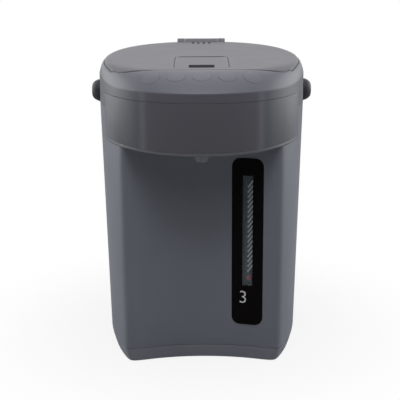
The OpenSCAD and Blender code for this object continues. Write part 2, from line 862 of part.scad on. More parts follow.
module inlet_pins() {
    color("#c8a84b")
    for (s = [-1, 1]) translate([s * 7, inlet_y - 3, inlet_z]) rotate([90, 0, 0])
        cylinder(r = 2 - touch, h = 14);
}

// ---------------------------------------------------------------- buttons

function button_x(b) = (b - 2) * button_pitch;
function button_y(b) = -118.5 + 4.4 * pow(button_x(b) / 46, 2);
step = 0.5;
function slope_x(x, y) = (surface_z(x + step, y) - surface_z(x - step, y)) / (2 * step);
function slope_y(x, y) = (surface_z(x, y + step) - surface_z(x, y - step)) / (2 * step);
function normal_at(x, y) =
    let (v = [-slope_x(x, y), -slope_y(x, y), 1]) v / norm(v);

function button_mid(b) = let (x = button_x(b), y = button_y(b)) [x, y, surface_z(x, y)];
function button_n(b) = normal_at(button_x(b), button_y(b));
// the panel's own sideways and rearward directions, for a normal n
function across(n) = [1 - n.x * n.x / (1 + n.z), -n.x * n.y / (1 + n.z), -n.x];
function along(n) = [-n.x * n.y / (1 + n.z), 1 - n.y * n.y / (1 + n.z), -n.y];

// a frame on the panel at button b: Z out of the panel
module on_panel(b) {
    n = button_n(b);
    translate(button_mid(b))
        rotate([0, acos(n.z), atan2(n.y, n.x)])
            rotate([0, 0, -atan2(n.y, n.x)])
                children();
}

button_lift = 0.5;
button_h = 5;

// a button's point at shares u and v of its half width and half depth, in its tangent plane
function flat_point(b, u, v, lift) =
    let (n = button_n(b))
    button_mid(b) + across(n) * u * button_w / 2 + along(n) * v * button_d / 2 + n * lift;

// the same on the panel's curved surface
function button_point(b, u, v, lift) =
    let (q = flat_point(b, u, v, 0), n = button_n(b))
    q + n * ((surface_z(q.x, q.y) - q.z) * n.z + lift);

module button_cap(b) {
    ring = [for (i = [0 : 31]) [cos(i * 360 / 32), sin(i * 360 / 32)]];
    color("#8a8c94")
    difference() {
        stack([
            [for (c = ring) flat_point(b, c.x, c.y, -button_h)],
            [for (c = ring) button_point(b, c.x, c.y, button_lift * 0.4)],
            [for (c = ring) button_point(b, c.x * 0.9, c.y * 0.9, button_lift)],
            [for (c = ring) flat_point(b, c.x * 0.4, c.y * 0.4, button_lift + 0.1)]]);
        on_panel(b) translate([0, 0, -button_h - plunger])
            cylinder(r = plunger_r + eps, h = plunger + 2);
    }
    color("#8a8c94")
    on_panel(b) translate([0, 0, -button_h - plunger]) cylinder(r = plunger_r, h = plunger + 2);
}

module unlock_button() { button_cap(0); }
module reboil_button() { button_cap(1); }
module dispense_button() { button_cap(2); }
module keep_warm_button() { button_cap(3); }
module timer_button() { button_cap(4); }

plunger_r = 1.8;
plunger = 2.5;                  // reach of the plunger below the cap
board_drop = 15.5;              // from the middle button's face to the board
board_w = 104;

module control_board() {
    color("#2f6b3c")
    on_panel(2) translate([-board_w / 2, -7, -board_drop - board_t]) cube([board_w, 14, board_t]);
    color("#d8d8d4")
    for (s = [-1, 1]) intersection() {
        on_panel(2) translate([s * 1.5 * button_pitch, 0, -board_drop])
            cylinder(r = 2.2, h = board_drop);
        translate([s * 1.5 * button_pitch - 5, -150, nose_low])
            cube([10, 60, surface_z(1.5 * button_pitch, button_y(2)) - wall - 2 - nose_low]);
    }
}

module button_switches() {
    color("#303034")
    difference() {
        for (b = [0 : 4]) on_panel(b) translate([-3, -3, -board_drop - 4])
            cube([6, 6, board_drop + 4 - button_h - plunger - button_travel - 0.2]);
        on_panel(2) translate([-far / 2, -far / 2, -board_drop - far]) cube([far, far, far + touch]);
    }
}

// ---------------------------------------------------------------- lid

module lid_cover() {
    shares = [0.985, 0.93, 0.86, 0.78, 0.5, 0.04];
    color("#8b8d95")
    difference() {
        stack(concat(
            [for (s = [0.04, 0.8]) [for (p = PHI) let (r = s * lid_r(p))
                at(p, r, top_z(p, r) - lid_t)]],
            [[for (p = PHI) at(p, lid_r(p, skirt_t), top_z(p, lid_r(p, skirt_t)) - lid_t)],
             [for (p = PHI) at(p, lid_r(p, skirt_t), lid_low)],
             [for (p = PHI) at(p, lid_r(p, max(skirt_lean, swing_in(p))), lid_low)],
             [for (p = PHI) at(p, lid_r(p, swing_in(p)), top_z(p, lid_r(p)) - 3)],
             [for (p = PHI) at(p, lid_r(p, 0.4 * swing_in(p)), top_z(p, lid_r(p)) - 1.4)],
             [for (p = PHI) at(p, lid_r(p), top_z(p, lid_r(p)) - 0.6)]],
            [for (s = shares) [for (p = PHI) let (r = s * lid_r(p)) at(p, r, top_z(p, r))]]));
        lid_lever_zone(lever_gap, 30, swing_gap);
        translate([-hinge_w / 2 - fit, block_front_y - 2 * fit, lid_low - 5])
            cube([hinge_w + 2 * fit, 40, 60]);
        for (i = [-1.5 : 1 : 1.5]) translate([i * vent_pitch, vent_y, lid_low + 5])
            round_slab(vent_w, vent_l, 30, vent_w / 2 - eps);
        translate([-bolt_w / 2 - fit, bolt_tip_y - 3, bolt_low - fit])
            cube([bolt_w + 2 * fit, 12, bolt_t + 2 * fit]);
    }
}
vent_pitch = 5.9;               // the four steam slots
vent_w = 2.7;
vent_l = 10;
vent_y = 96;
duct_t = 0.7;                   // end wall of the steam duct
duct_end_y = vent_y + vent_l / 2 + duct_t;

// how far the lid's skirt leans in where it swings past the top cover
swing_relief = 1;
function swing_in(phi) = swing_relief * smooth((from_front(phi) - 145) / 20);

// a frame in the lid's top plane, at the world's Y
module lid_frame() {
    translate([0, 0, plane_z(0)]) rotate([atan(lid_slope), 0, 0]) children();
}

module lid_lever_zone(grow, h, behind = 0) {
    mid = (lever_front_y + lever_rear_y + behind) / 2;
    lid_frame() translate([0, mid, -h / 2])
        round_slab(lever_w + 2 * grow, lever_rear_y - lever_front_y + behind + 2 * grow, h, lever_corner + grow);
}

module lever_hole(x0, x1, r) {
    translate([x0, lever_axis_y, lever_axis_z]) rotate([0, 90, 0]) cylinder(r = r, h = x1 - x0);
}

module latch_lever() {
    blade_w = 2;
    color("#868890")
    difference() {
        union() {
            intersection() {
                lid_lever_zone(0, 30);
                union() {
                    lid_frame() translate([-far / 2, lever_axis_y - far, -lever_t])
                        cube([far, far, lever_t]);
                    lever_hole(-lever_w, lever_w, hub_r);
                }
            }
            for (s = [-1, 1]) translate([s * 4.2 - blade_w / 2, cam_y - 3, cam_z - cam_r])
                cube([blade_w, 6, plane_z(cam_y) - 1 - cam_z + cam_r]);
            translate([-5.2, cam_y, cam_z]) rotate([0, 90, 0]) cylinder(r = cam_r, h = 10.4);
        }
        lid_frame() translate([0, (slot_front_y + slot_rear_y) / 2, -10])
            round_slab(slot_w, slot_rear_y - slot_front_y, 20, 2);
        lever_hole(-30, 30, lever_pin_r + touch);
        // room for the spring and for the lid's two bearings
        for (span = [[-4.5, 4.5], [-bearing_x - 2.2, -bearing_x + 2.2], [bearing_x - 2.2, bearing_x + 2.2]]) {
            lever_hole(span[0], span[1], 2.6);
            translate([span[0], lever_axis_y - 5, lever_axis_z - 5])
                cube([span[1] - span[0], 10, 5]);
        }
    }
}

module lever_pin() {
    color("silver")
    lever_hole(-24.6, 24.6, lever_pin_r);
}

module lever_spring() {
    color("#b8babd")
    difference() {
        lever_hole(-4, 4, 2.3);
        lever_hole(-5, 5, lever_pin_r + 0.2);
    }
}

module lever_tray() {
    color("#5c5e64")
    difference() {
        lid_frame() translate([0, (lever_front_y - 46) / 2, -9.5])
            round_slab(lever_w + 6, -46 - lever_front_y + 4, 9.5 - 2.6, 6);
        lid_frame() translate([0, (lever_front_y - 46) / 2, -7.9])
            round_slab(lever_w + 1.5, -46 - lever_front_y + 1, 20, 7);
    }
}

module latch_bolt() {
    color("#d9dadc")
    union() {
        translate([-bolt_w / 2, bolt_tip_y, bolt_low])
            cube([bolt_w, bolt_end_y - bolt_tip_y, bolt_t]);
        translate([-2.5, 0, 0]) rotate([90, 0, 90]) linear_extrude(height = 5)
            polygon([[-25.6, bolt_low + bolt_t - 1], [-33.2, rib_high], [-30.2, rib_high],
                     [bolt_end_y, bolt_low + bolt_t - 1]]);
    }
}

module bolt_spring() {
    color("#b8babd")
    translate([0, bolt_end_y + 0.1, bolt_low + 2.4]) rotate([-90, 0, 0])
        tube(2.2, 1.5, spring_end_y - bolt_end_y - 0.2);
}

module lid_base() {
    top = lid_low + base_t;
    color("#7a7c84")
    difference() {
        union() {
            translate([0, 0, lid_low])
                linear_extrude(height = base_t)
                    difference() {
                        polygon(flat_plan([for (p = PHI) lid_r(p, skirt_t + touch)]));
                        translate([-hinge_w / 2 - fit, block_front_y - 2 * fit])
                            square([hinge_w + 2 * fit, 40]);
                        translate([0, steam_y]) circle(r = duct_r + 1);
                    }
            // arm and knuckle of the hinge
            translate([-knuckle_w / 2 + fit, duct_end_y + 0.5, lid_low])
                cube([knuckle_w - 2 * fit, hinge_y - duct_end_y - 0.5, hinge_z - lid_low]);
            translate([-knuckle_w / 2 + fit, hinge_y, hinge_z]) rotate([0, 90, 0])
                cylinder(r = knuckle_r, h = knuckle_w - 2 * fit);
            translate([-knuckle_w / 2 + fit, 0, 0]) hinge_ramp(knuckle_w - 2 * fit, knuckle_r);
            // stop behind the bolt's spring
            translate([-5, spring_end_y, top - eps]) cube([10, 3, 8]);
            // bearings of the lever's pin
            for (s = [-1, 1]) translate([s * bearing_x - bearing_w / 2, 0, 0]) {
                translate([0, lever_axis_y - bearing_r, top - eps])
                    cube([bearing_w, 2 * bearing_r, lever_axis_z - top + eps]);
                lever_hole(0, bearing_w, bearing_r);
            }
        }
        translate([-hinge_w / 2, hinge_y, hinge_z]) rotate([0, 90, 0])
            cylinder(r = hinge_pin_r + touch, h = hinge_w);
        lever_hole(-30, 30, lever_pin_r + eps);
        for (s = LID_SCREWS) translate([s.x, s.y, lid_low - 1]) cylinder(r = 1.5, h = 10);
    }
}
skirt_t = 2.2;                  // wall of the lid's skirt
skirt_lean = 0.4;               // the skirt's outer face leans in by this much at its foot
lid_t = 2.5;                    // thickness of the lid's top

steam_y = 62;
LID_SCREWS = [[52, 62], [-52, 62], [52, -38], [-52, -38]];

module lid_screws() {
    color("silver")
    for (s = LID_SCREWS) translate([s.x, s.y, 0]) {
        translate([0, 0, lid_low - 1.6]) cylinder(r = 2.8, h = 1.6);
        translate([0, 0, lid_low - 0.8]) cylinder(r = 1.45, h = 8);
    }
}

plug_r = 66;
plug_low = lid_low - 21.8;

module lid_plug() {
    color("#d5d6d8")
    translate([0, container_y, 0])
    difference() {
        translate([0, 0, plug_low]) cylinder(r = plug_r, h = lid_low - plug_low - touch);
        translate([0, 0, plug_low + plug_floor]) cylinder(r = plug_r - 3, h = 40);
        translate([0, steam_y - container_y, plug_low - eps]) cylinder(r = valve_r, h = 20);
    }
}

module inner_lid() {
    color("silver")
    translate([0, container_y, plug_low - 1.2])
    difference() {
        cylinder(r = plug_r - 2, h = 1.2);
        translate([0, steam_y - container_y, -eps]) cylinder(r = 4, h = 5);
    }
}

module lid_gasket() {
    color("#bfc0c2")
    translate([0, container_y, mouth_low + 0.5]) tube(mouth_r - 1, plug_r + touch, 3);
}

duct_r = 7;
plug_floor = 3;
valve_r = 3;                    // hole that the tip-over ball closes

module steam_duct() {
    box_low = lid_low + 4.7;
    box_high = plane_z(steam_y) - lid_t - 0.4;
    low = plug_low + plug_floor + touch;
    color("#c4c5c8")
    difference() {
        union() {
            translate([0, steam_y, low]) cylinder(r = duct_r, h = box_high - low);
            translate([-12, steam_y, box_low])
                cube([24, duct_end_y - steam_y, box_high - box_low]);
        }
        translate([0, steam_y, low - eps]) cylinder(r = duct_r - 1.4, h = box_high - 1.4 - low);
        translate([-10.6, steam_y, box_low + 1.4])
            cube([21.2, duct_end_y - steam_y - duct_t, box_high - box_low - 2.8]);
        translate([-10.6, vent_y - vent_l / 2 - duct_t, box_low + 1.4])
            cube([21.2, vent_l + duct_t, 40]);
    }
}

ball_r = 4.6;
ball_z = plug_low + plug_floor + sqrt(ball_r * ball_r - valve_r * valve_r) + touch;

module steam_ball() {
    color("silver")
    translate([0, steam_y, ball_z]) sphere(r = ball_r);
}

// ---------------------------------------------------------------- hinge and handle

// slope in front of the hinge's rounded top, whose radius is r
module hinge_ramp(w, r) {
    foot = -6.8;
    head = r - 3;
    turn = asin(r / norm([foot, head])) - atan(-head / foot);
    rotate([90, 0, 90]) linear_extrude(height = w)
        polygon([[hinge_y + foot, hinge_z - 3.1], [hinge_y, hinge_z - 3.1], [hinge_y, hinge_z + r - 0.02],
                 [hinge_y - r * sin(turn), hinge_z + r * cos(turn)], [hinge_y + foot, hinge_z + head]]);
}

module hinge_block() {
    low = lip_h - 6 + fit;
    color("#82848c")
    difference() {
        union() {
            translate([-hinge_w / 2, block_front_y, low])
                cube([hinge_w, block_rear_y - block_front_y, hinge_z - 3 - low]);
            translate([-hinge_w / 2, hinge_y - ear_r, hinge_z - 4])
                cube([hinge_w, 2 * ear_r, 4]);
            translate([-hinge_w / 2, hinge_y, hinge_z]) rotate([0, 90, 0])
                cylinder(r = ear_r, h = hinge_w);
            translate([-hinge_w / 2, 0, 0]) hinge_ramp(hinge_w, ear_r);
        }
        translate([-knuckle_w / 2, block_front_y - 1, lid_low - 1])
            cube([knuckle_w, hinge_y - block_front_y + 1, 40]);
        translate([-knuckle_w / 2, hinge_y, hinge_z]) rotate([0, 90, 0])
            cylinder(r = ear_r + 0.1, h = knuckle_w);
        translate([-hinge_w / 2 - 1, hinge_y, hinge_z]) rotate([0, 90, 0])
            cylinder(r = hinge_pin_r + 0.01, h = hinge_w + 2);
    }
}

module lid_hinge_pin() {
    color("silver")
    translate([-hinge_w / 2 + 1, hinge_y, hinge_z]) rotate([0, 90, 0])
        cylinder(r = hinge_pin_r, h = hinge_w - 2);
}

module handle_half(a, b) {
    intersection() {
        polygon([for (i = [0 : 71]) let (t = i * 5)
            [sign(cos(t)) * a * pow(abs(cos(t)), 2 / handle_n),
             sign(sin(t)) * b * pow(abs(sin(t)), 2 / handle_n)]]);
        translate([-far / 2, 0]) square(far);
    }
}

module handle() {
    color("#3a3b40")
    translate([0, 0, pivot_h]) rotate([-handle_drop, 0, 0])
    difference() {
        union() {
            linear_extrude(height = handle_t, center = true)
                difference() {
                    handle_half(handle_in + 5.3, handle_reach + grip_w);
                    handle_half(handle_in, handle_reach);
                }
            for (s = [-1, 1]) rotate([0, s * 90, 0]) translate([0, 0, handle_in])
                rotate_extrude() polygon([
                    [0, 0], [eye_r - 1, 0], [eye_r, 1], [eye_r, 2.8], [eye_r - 1.3, 5.6],
                    [eye_r - 3.4, eye_t - 0.9], [eye_r - 5.4, eye_t], [0, eye_t]]);
        }
        for (s = [-1, 1]) rotate([0, s * 90, 0]) translate([0, 0, handle_in - 1])
            cylinder(r = pin_r + touch, h = eye_t - 1);
    }
}

head_gap = 0.8;                 // from the wall at the widest line to the heads of the pins

module handle_pins() {
    color("silver")
    for (s = [-1, 1]) translate([0, 0, pivot_h]) rotate([0, s * 90, 0]) {
        translate([0, 0, half_w - wall - head_gap - 0.2])
            cylinder(r = pin_r, h = eye_out - half_w + wall + head_gap - 3);
        translate([0, 0, half_w - wall - head_gap - 2.5]) cylinder(r = pin_r + 2.8, h = 2.5);
    }
}

// ---------------------------------------------------------------- drawing

base_tray();
base_feet();
base_screws();
body_sleeve();
top_cover();
nose_cover();
nose_underplate();
mouth_ring();
inner_container();
container_seal();
heat_shield();
heater_band();
thermostat();
pump_motor();
motor_bracket();
pump_housing();
pump_cover();
inlet_hose();
riser_hose();
gauge_tube();
gauge_fittings();
gauge_panel();
gauge_window();
gauge_backing();
spout_pipe();
spout_nozzle();
power_board();
board_components();
power_inlet();
inlet_pins();
control_board();
button_switches();
hinge_block();
lid_hinge_pin();
handle_pins();
handle();
lid_cover();
lid_base();
lid_plug();
inner_lid();
lid_gasket();
steam_duct();
steam_ball();
lid_screws();
lever_tray();
lever_pin();
lever_spring();
latch_lever();
latch_bolt();
bolt_spring();
unlock_button();
reboil_button();
dispense_button();
keep_warm_button();
timer_button();
impeller();
impeller_shaft();
drive_magnet();
level_float();
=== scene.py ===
"""Electric thermo pot: shells, lid, level gauge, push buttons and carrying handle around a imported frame."""

import json  # noqa: E402
import math  # noqa: E402

import bmesh  # noqa: E402
import bpy  # noqa: E402
from bpy.props import FloatProperty, FloatVectorProperty, IntProperty, PointerProperty  # noqa: E402
from bpy.types import Operator, Panel, PropertyGroup  # noqa: E402
from mathutils import Matrix, Vector  # noqa: E402


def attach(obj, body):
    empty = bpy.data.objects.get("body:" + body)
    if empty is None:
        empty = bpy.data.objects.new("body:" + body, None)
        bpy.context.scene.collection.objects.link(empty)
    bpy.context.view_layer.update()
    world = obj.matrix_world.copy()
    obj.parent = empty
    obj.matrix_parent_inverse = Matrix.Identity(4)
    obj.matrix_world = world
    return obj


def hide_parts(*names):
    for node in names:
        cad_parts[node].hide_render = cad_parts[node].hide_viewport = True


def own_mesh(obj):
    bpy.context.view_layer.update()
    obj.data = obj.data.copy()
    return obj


bl_info = {
    "name": "Electric Thermo Pot",
    "version": (1, 0, 0),
    "blender": (4, 5, 0),
    "location": "View3D > Sidebar > Thermo Pot",
    "description": "Builds the visible pieces of an electric thermo pot around its frame",
    "category": "Add Mesh",
}

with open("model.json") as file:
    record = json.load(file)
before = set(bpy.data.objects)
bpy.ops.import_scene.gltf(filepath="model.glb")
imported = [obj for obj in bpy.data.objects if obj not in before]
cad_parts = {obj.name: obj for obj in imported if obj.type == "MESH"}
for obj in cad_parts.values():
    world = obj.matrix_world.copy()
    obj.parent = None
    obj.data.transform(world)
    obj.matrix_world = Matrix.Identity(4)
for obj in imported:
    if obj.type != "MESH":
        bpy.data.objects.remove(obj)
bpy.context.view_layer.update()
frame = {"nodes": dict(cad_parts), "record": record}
SLOT_OF = {part["node"]: part["material_slot"] for part in frame["record"]["subparts"]}

# ---------------------------------------------------------------- measures of the frame, in millimetres

MM = 0.001
FAR = 1000.0                                # stands for no limit
FIT = 0.3                                   # play between covers
TOUCH = 0.05                                # play between fitted pieces
WALL = 2.2

# the column: an oval plan with a hollow front, drawn in towards the floor
HALF_W = 100.3
FRONT_REACH, REAR_REACH = 128.0, 127.0
FRONT_N, REAR_N = 2.25, 2.2                 # powers of the oval's two halves
FLOOR_REACH, FLOOR_N = 35.0, 0.35           # what the front half gains and loses down to the floor
CENTRE_Y = -9.0
BODY_DRAFT = 5.8
NOTCH_R = 190.0
NOTCH_Y = -91.0 - NOTCH_R
CORNER_P = 24                               # how sharply the hollow meets the oval
BASE_H, SEAM_H, TOP_H = 13.3, 246.0, 288.0

# the base
BASE_LOW = 1.0
BASE_TUCK, BASE_CURVE = 3.5, 1.2            # how far it is drawn in at the floor, and the power of the curve
BASE_LEVELS = (BASE_LOW, 2.5, 4, 6, 8, 10.5, BASE_H)
TRAY_FLOOR, TRAY_LEDGE = 5.5, 9.0
FEET = ((60, -60), (-60, -60), (50, 76), (-50, 76))
SOCKET_R, SOCKET_H = 8.3, 3.0
INLET_W, INLET_HH, INLET_Z = 40.0, 25.0, 42.0
INLET_FRONT_Y, INLET_REAR_Y = 98.0, 128.0

# the nose and the spout
NOSE_LOW, NOSE_SEAM = 212.0, 259.7
NOSE_END_Y = -68.0
NOSE_TURN = 62                              # degrees that it reaches to each side of the front
NOSE_ARC_R = 85 * 85 / (2 * 3.0)            # the lower edge rises 3 at 85 from the middle
UNDER_T = 2.4
NOZZLE_Y = -116.0
NOZZLE_R = 8.2

# the top cover and the lid
CREASE_H, CREASE_RISE = 268.5, 4.5
FRONT_FALL, SIDE_GAIN, REAR_FALL = 2.2, 6.1, 13     # powers of the fall from the lid to the crease
FALL_START = 0.78                           # share of the radius where the fall starts
PANEL_STEPS = 14
LIP_H = 266.0
LID_FRONT_Y, LID_REAR_Y = -100.0, 108.0
LID_INSET, LID_GAP = 5.0, 0.5
LID_BOW, LID_BOW_END, LID_BOW_P = 1.23, 0.75, 6     # how the lid's front edge bows round to the sides
LID_CORNER_P = 60                           # how sharply the lid's ends meet its sides
LID_LOW, LID_T = 268.8, 2.5
LID_SHARES = (1, 0.985, 0.96, 0.93, 0.9, 0.86, 0.82, 0.78, 0.6, 0.4, 0.2, 0.04)     # of its radius, inwards
LID_SLOPE = 0.0135
VENT_Y = 96.0
VENT_DEPTH = 12.0
HINGE_W, BLOCK_FRONT_Y = 52.0, 104.5

# turns in degrees from the front, each as a start and a span
PANEL_TURN, CREASE_TURN, REAR_TURN, SWING_TURN = (20, 42), (38, 32), (110, 50), (145, 20)

# the buttons, from the left; a cap is given by shares of its half width and heights above the panel, and
# None lies in its flat foot
BUTTONS = ("unlock", "reboil", "dispense", "keep_warm", "timer")
BUTTON_PITCH, BUTTON_W, BUTTON_D = 23.0, 17.0, 14.4
BUTTON_Y, BUTTON_BOW = -118.5, 4.4
BUTTON_GAP = 0.15
CAP_FOOT = -5.0
CAP = ((1.0, None), (1.0, 0.0), (0.985, 0.1), (0.95, 0.16), (0.88, 0.2), (0.7, 0.22), (0.45, 0.24),
       (0.2, 0.25))

# the release lever and the latch
LEVER_W, LEVER_T, LEVER_CORNER = 51.0, 2.4, 8.0
LEVER_FRONT_Y, LEVER_AXIS_Y = -90.0, -17.0
HUB_R = 3.9
LEVER_REAR_Y = LEVER_AXIS_Y + HUB_R
LEVER_ROOMS = ((-4.5, 4.5), (-24.2, -19.8), (19.8, 24.2))   # across: the spring's room and the ears' rooms
ROOM_R, EAR_R, LEVER_PIN_R = 5.0, 2.6, 1.05
SLOT_W, SLOT_FRONT_Y, SLOT_REAR_Y = 24.0, -87.4, -69.5
CAM_Y, CAM_Z, CAM_R = -31.0, 276.5, 1.5
BLADE_X, BLADE_T, BLADE_D = 4.2, 2.0, 6.0
BOLT_LOW, BOLT_T = 271.2, 3.0
BOLT_WAY = ((-6.3, -107.6), (6.3, -95.6))   # corners in plan

# the level gauge; depths count backwards from the sleeve's hollow face
GAUGE_X = 43.0
GAUGE_TURN = math.asin(GAUGE_X / NOTCH_R)
GAUGE_Y = NOTCH_Y + math.sqrt(NOTCH_R ** 2 - GAUGE_X ** 2)
GAUGE_W, GAUGE_CORNER = 30.2, 8.0
GAUGE_LOW, GAUGE_HIGH = 36.4, 201.5
GAUGE_MID = (GAUGE_LOW + GAUGE_HIGH) / 2
GAUGE_PLAY, GAUGE_LEDGE = 0.1, 4.0          # round the panel, and of the ledge that it lies on
PANEL_BACK, PANEL_FACE = 1.6, -0.8
WINDOW_W = 10.0
WINDOW_LOW, WINDOW_HIGH = 76.2, 185.0
PANE_FACE, PANE_BACK = -0.6, 1.0
TUBE_DEPTH, TUBE_R = 8.0, 4.5
TUBE_WALL, TUBE_STOP = 1.0, 2.1             # wall beside the float, and where the float rests
TUBE_LOW, TUBE_HIGH = 52.0, 214.0
BACKING_W, BACKING_T, CHEEK_T = 20.0, 1.4, 1.6
FLOAT_Z, FLOAT_R = 81.4, 3.0
STRIPE_FIRST = (2.45, 1.15, WINDOW_LOW + 17.2)
NUMERAL_PLACE = (-3.9, -0.82, 58.4)
NUMERAL_SIZE, NUMERAL_THIN = 1.38, -0.2     # text size for a height, and what its strokes lose
NUMERAL_T, STRIPE_T = 0.04, 0.2

# the handle, lying back
PIVOT_H, PIVOT_R = 251.5, 3.25
HANDLE_IN = HALF_W + 0.9
HANDLE_DROP = math.radians(20)
BAR_IN, BAR_OUT = (HANDLE_IN, 130.4), (HANDLE_IN + 5.3, 143.4)  # half width and reach of the bar's two faces
BAR_W = 13.0
EYE_R, EYE_T = 10.8, 8.8

# profiles about an axis: points (radius, height), and the roundings of the corners by number
FOOT = ([(0, 0), (3.5, 0), (4, 0.4), (5.2, 0.4), (5.7, 0), (7, 0), (8, 1), (8, 2.98), (0, 2.98)],
        {2: 0.2, 3: 0.2, 5: 0.5, 6: 0.4, 7: 0.3})
SCREW = ([(0, 5.6), (1.2, 5.6), (1.55, 6.2), (1.55, 16), (1.1, 16.5), (0, 16.5)], {3: 0.2})
NOZZLE = ([(0, 228.5), (NOZZLE_R, 228.5), (NOZZLE_R, 209), (6, 203.5), (4.6, 203.5), (4.6, 225), (0, 225)],
          {1: 0.5, 2: 0.8, 3: 0.5, 4: 0.3})
PLUNGER = ([(0, -7.5), (1.8, -7.5), (1.8, -4.5), (0, -4.5)], {1: 0.3})
BOSS = ([(0, 7.8), (PIVOT_R, 7.8), (PIVOT_R, 0), (EYE_R - 1, 0), (EYE_R, 1), (EYE_R, 2.8), (EYE_R - 1.3, 5.6),
         (EYE_R - 3.4, EYE_T - 0.9), (EYE_R - 5.4, EYE_T), (0, EYE_T)],
        {3: 0.5, 4: 0.6, 5: 1.2, 6: 1.0, 7: 1.0, 8: 0.8})

# directions all round, closer together at the corners of the hollow front
HALF_DIRS = [1.5 * i for i in range(16)] + [24 + 0.75 * i for i in range(45)]
HALF_DIRS += [58 + 2 * i for i in range(62)]
DIRS = [math.radians(a) for a in HALF_DIRS + [360 - a for a in HALF_DIRS[-2:0:-1]]]

# painted light on the upright front, as tones of its colour: a painted dark reflection over its middle, a
# painted highlight along a light line at each bend, painted shade beside that line and further out
BEND_START, BEND_END = 40.0, 80.0           # distances from the middle between which the tones change
PAINTED_LIGHT_STOPS = (0.05, 0.22, 0.34, 0.46, 0.6, 1.0)     # shares of that way
COVER_FADE_Y, NOSE_FADE_Y = (-70, -60), (-100, -78)     # where the tones fade out along the sides
NOSE_FADE = 0.25                            # what stays of them on the nose's sides
COVER_PAINTED_LIGHT = ((0.82, 0.77, 0.79), (1.05, 1.05, 1.05), (0.74, 0.76, 0.77), (0.88, 0.9, 0.9))
NOSE_PAINTED_LIGHT = ((0.75, 0.71, 0.71), (1, 0.98, 0.98), (0.62, 0.66, 0.67), (0.5, 0.54, 0.56))

# the stage: the camera's place in metres and its turns in degrees, and the floor's radius
CAMERA_PLACE = (-0.00205, -1.05, 0.4132)
CAMERA_TILT, CAMERA_ROLL = 75.222, -0.27
FLOOR_R = 6000.0


# ---------------------------------------------------------------- sizes and colours that a user may change


class ShellSizes(PropertyGroup):
    """Edges of the covers"""

    edge: FloatProperty(
        name="Edge rounding", description="Rounding of the covers' edges",
        default=0.0006, min=0.0001, max=0.0015, unit="LENGTH")
    crease: FloatProperty(
        name="Crease rounding", description="Rounding of the crease in front of the buttons",
        default=0.0024, min=0.0002, max=0.004, unit="LENGTH")
    rim_drop: FloatProperty(
        name="Rim drop", description="How far the panel falls beside the lid",
        default=0.0009, min=0.0, max=0.0016, unit="LENGTH")
    rim_width: FloatProperty(
        name="Rim width", description="Width of the panel's fall beside the lid",
        default=0.0013, min=0.0004, max=0.003, unit="LENGTH")


class LidSizes(PropertyGroup):
    """Small forms of the lid"""

    edge: FloatProperty(
        name="Edge rounding", description="Rounding of the lid's upper edge",
        default=0.0009, min=0.0001, max=0.002, unit="LENGTH")
    lever_edge: FloatProperty(
        name="Lever rounding", description="Rounding of the release lever's edges",
        default=0.0005, min=0.0001, max=0.001, unit="LENGTH")
    vent_count: IntProperty(
        name="Steam slots", description="Number of slots of the steam outlet", default=4, min=1, max=6)
    vent_pitch: FloatProperty(
        name="Steam slot pitch", description="Distance between the steam slots",
        default=0.0059, min=0.004, max=0.008, unit="LENGTH")
    vent_width: FloatProperty(
        name="Steam slot width", description="Width of a steam slot",
        default=0.0027, min=0.0015, max=0.0035, unit="LENGTH")
    vent_length: FloatProperty(
        name="Steam slot length", description="Length of a steam slot",
        default=0.01, min=0.004, max=0.012, unit="LENGTH")


class GaugeSizes(PropertyGroup):
    """Marks of the level gauge"""

    stripe_count: IntProperty(
        name="Stripes", description="Number of slanting stripes on the pane's back",
        default=18, min=4, max=20)
    stripe_pitch: FloatProperty(
        name="Stripe pitch", description="Distance between the stripes",
        default=0.0049, min=0.002, max=0.005, unit="LENGTH")
    stripe_length: FloatProperty(
        name="Stripe length", description="Length of a stripe",
        default=0.0085, min=0.004, max=0.0085, unit="LENGTH")
    stripe_width: FloatProperty(
        name="Stripe width", description="Width of a stripe",
        default=0.0014, min=0.0005, max=0.002, unit="LENGTH")
    stripe_lean: FloatProperty(
        name="Stripe lean", description="Angle of the stripes from level",
        default=math.radians(55), min=math.radians(54), max=math.radians(80),
        subtype="ANGLE", unit="ROTATION")
    numeral_height: FloatProperty(
        name="Numeral height", description="Height of the numeral on the gauge",
        default=0.013, min=0.004, max=0.015, unit="LENGTH")


class CoilSizes(PropertyGroup):
    """The two wire springs in the lid"""

    wire: FloatProperty(
        name="Wire radius", description="Radius of the spring wire",
        default=0.00025, min=0.0001, max=0.0005, unit="LENGTH")
    bolt_turns: FloatProperty(
        name="Bolt spring turns", description="Turns of the latch bolt's spring", default=9, min=3, max=14)
    lever_turns: FloatProperty(
        name="Lever spring turns", description="Turns of the lever's spring", default=6, min=3, max=10)


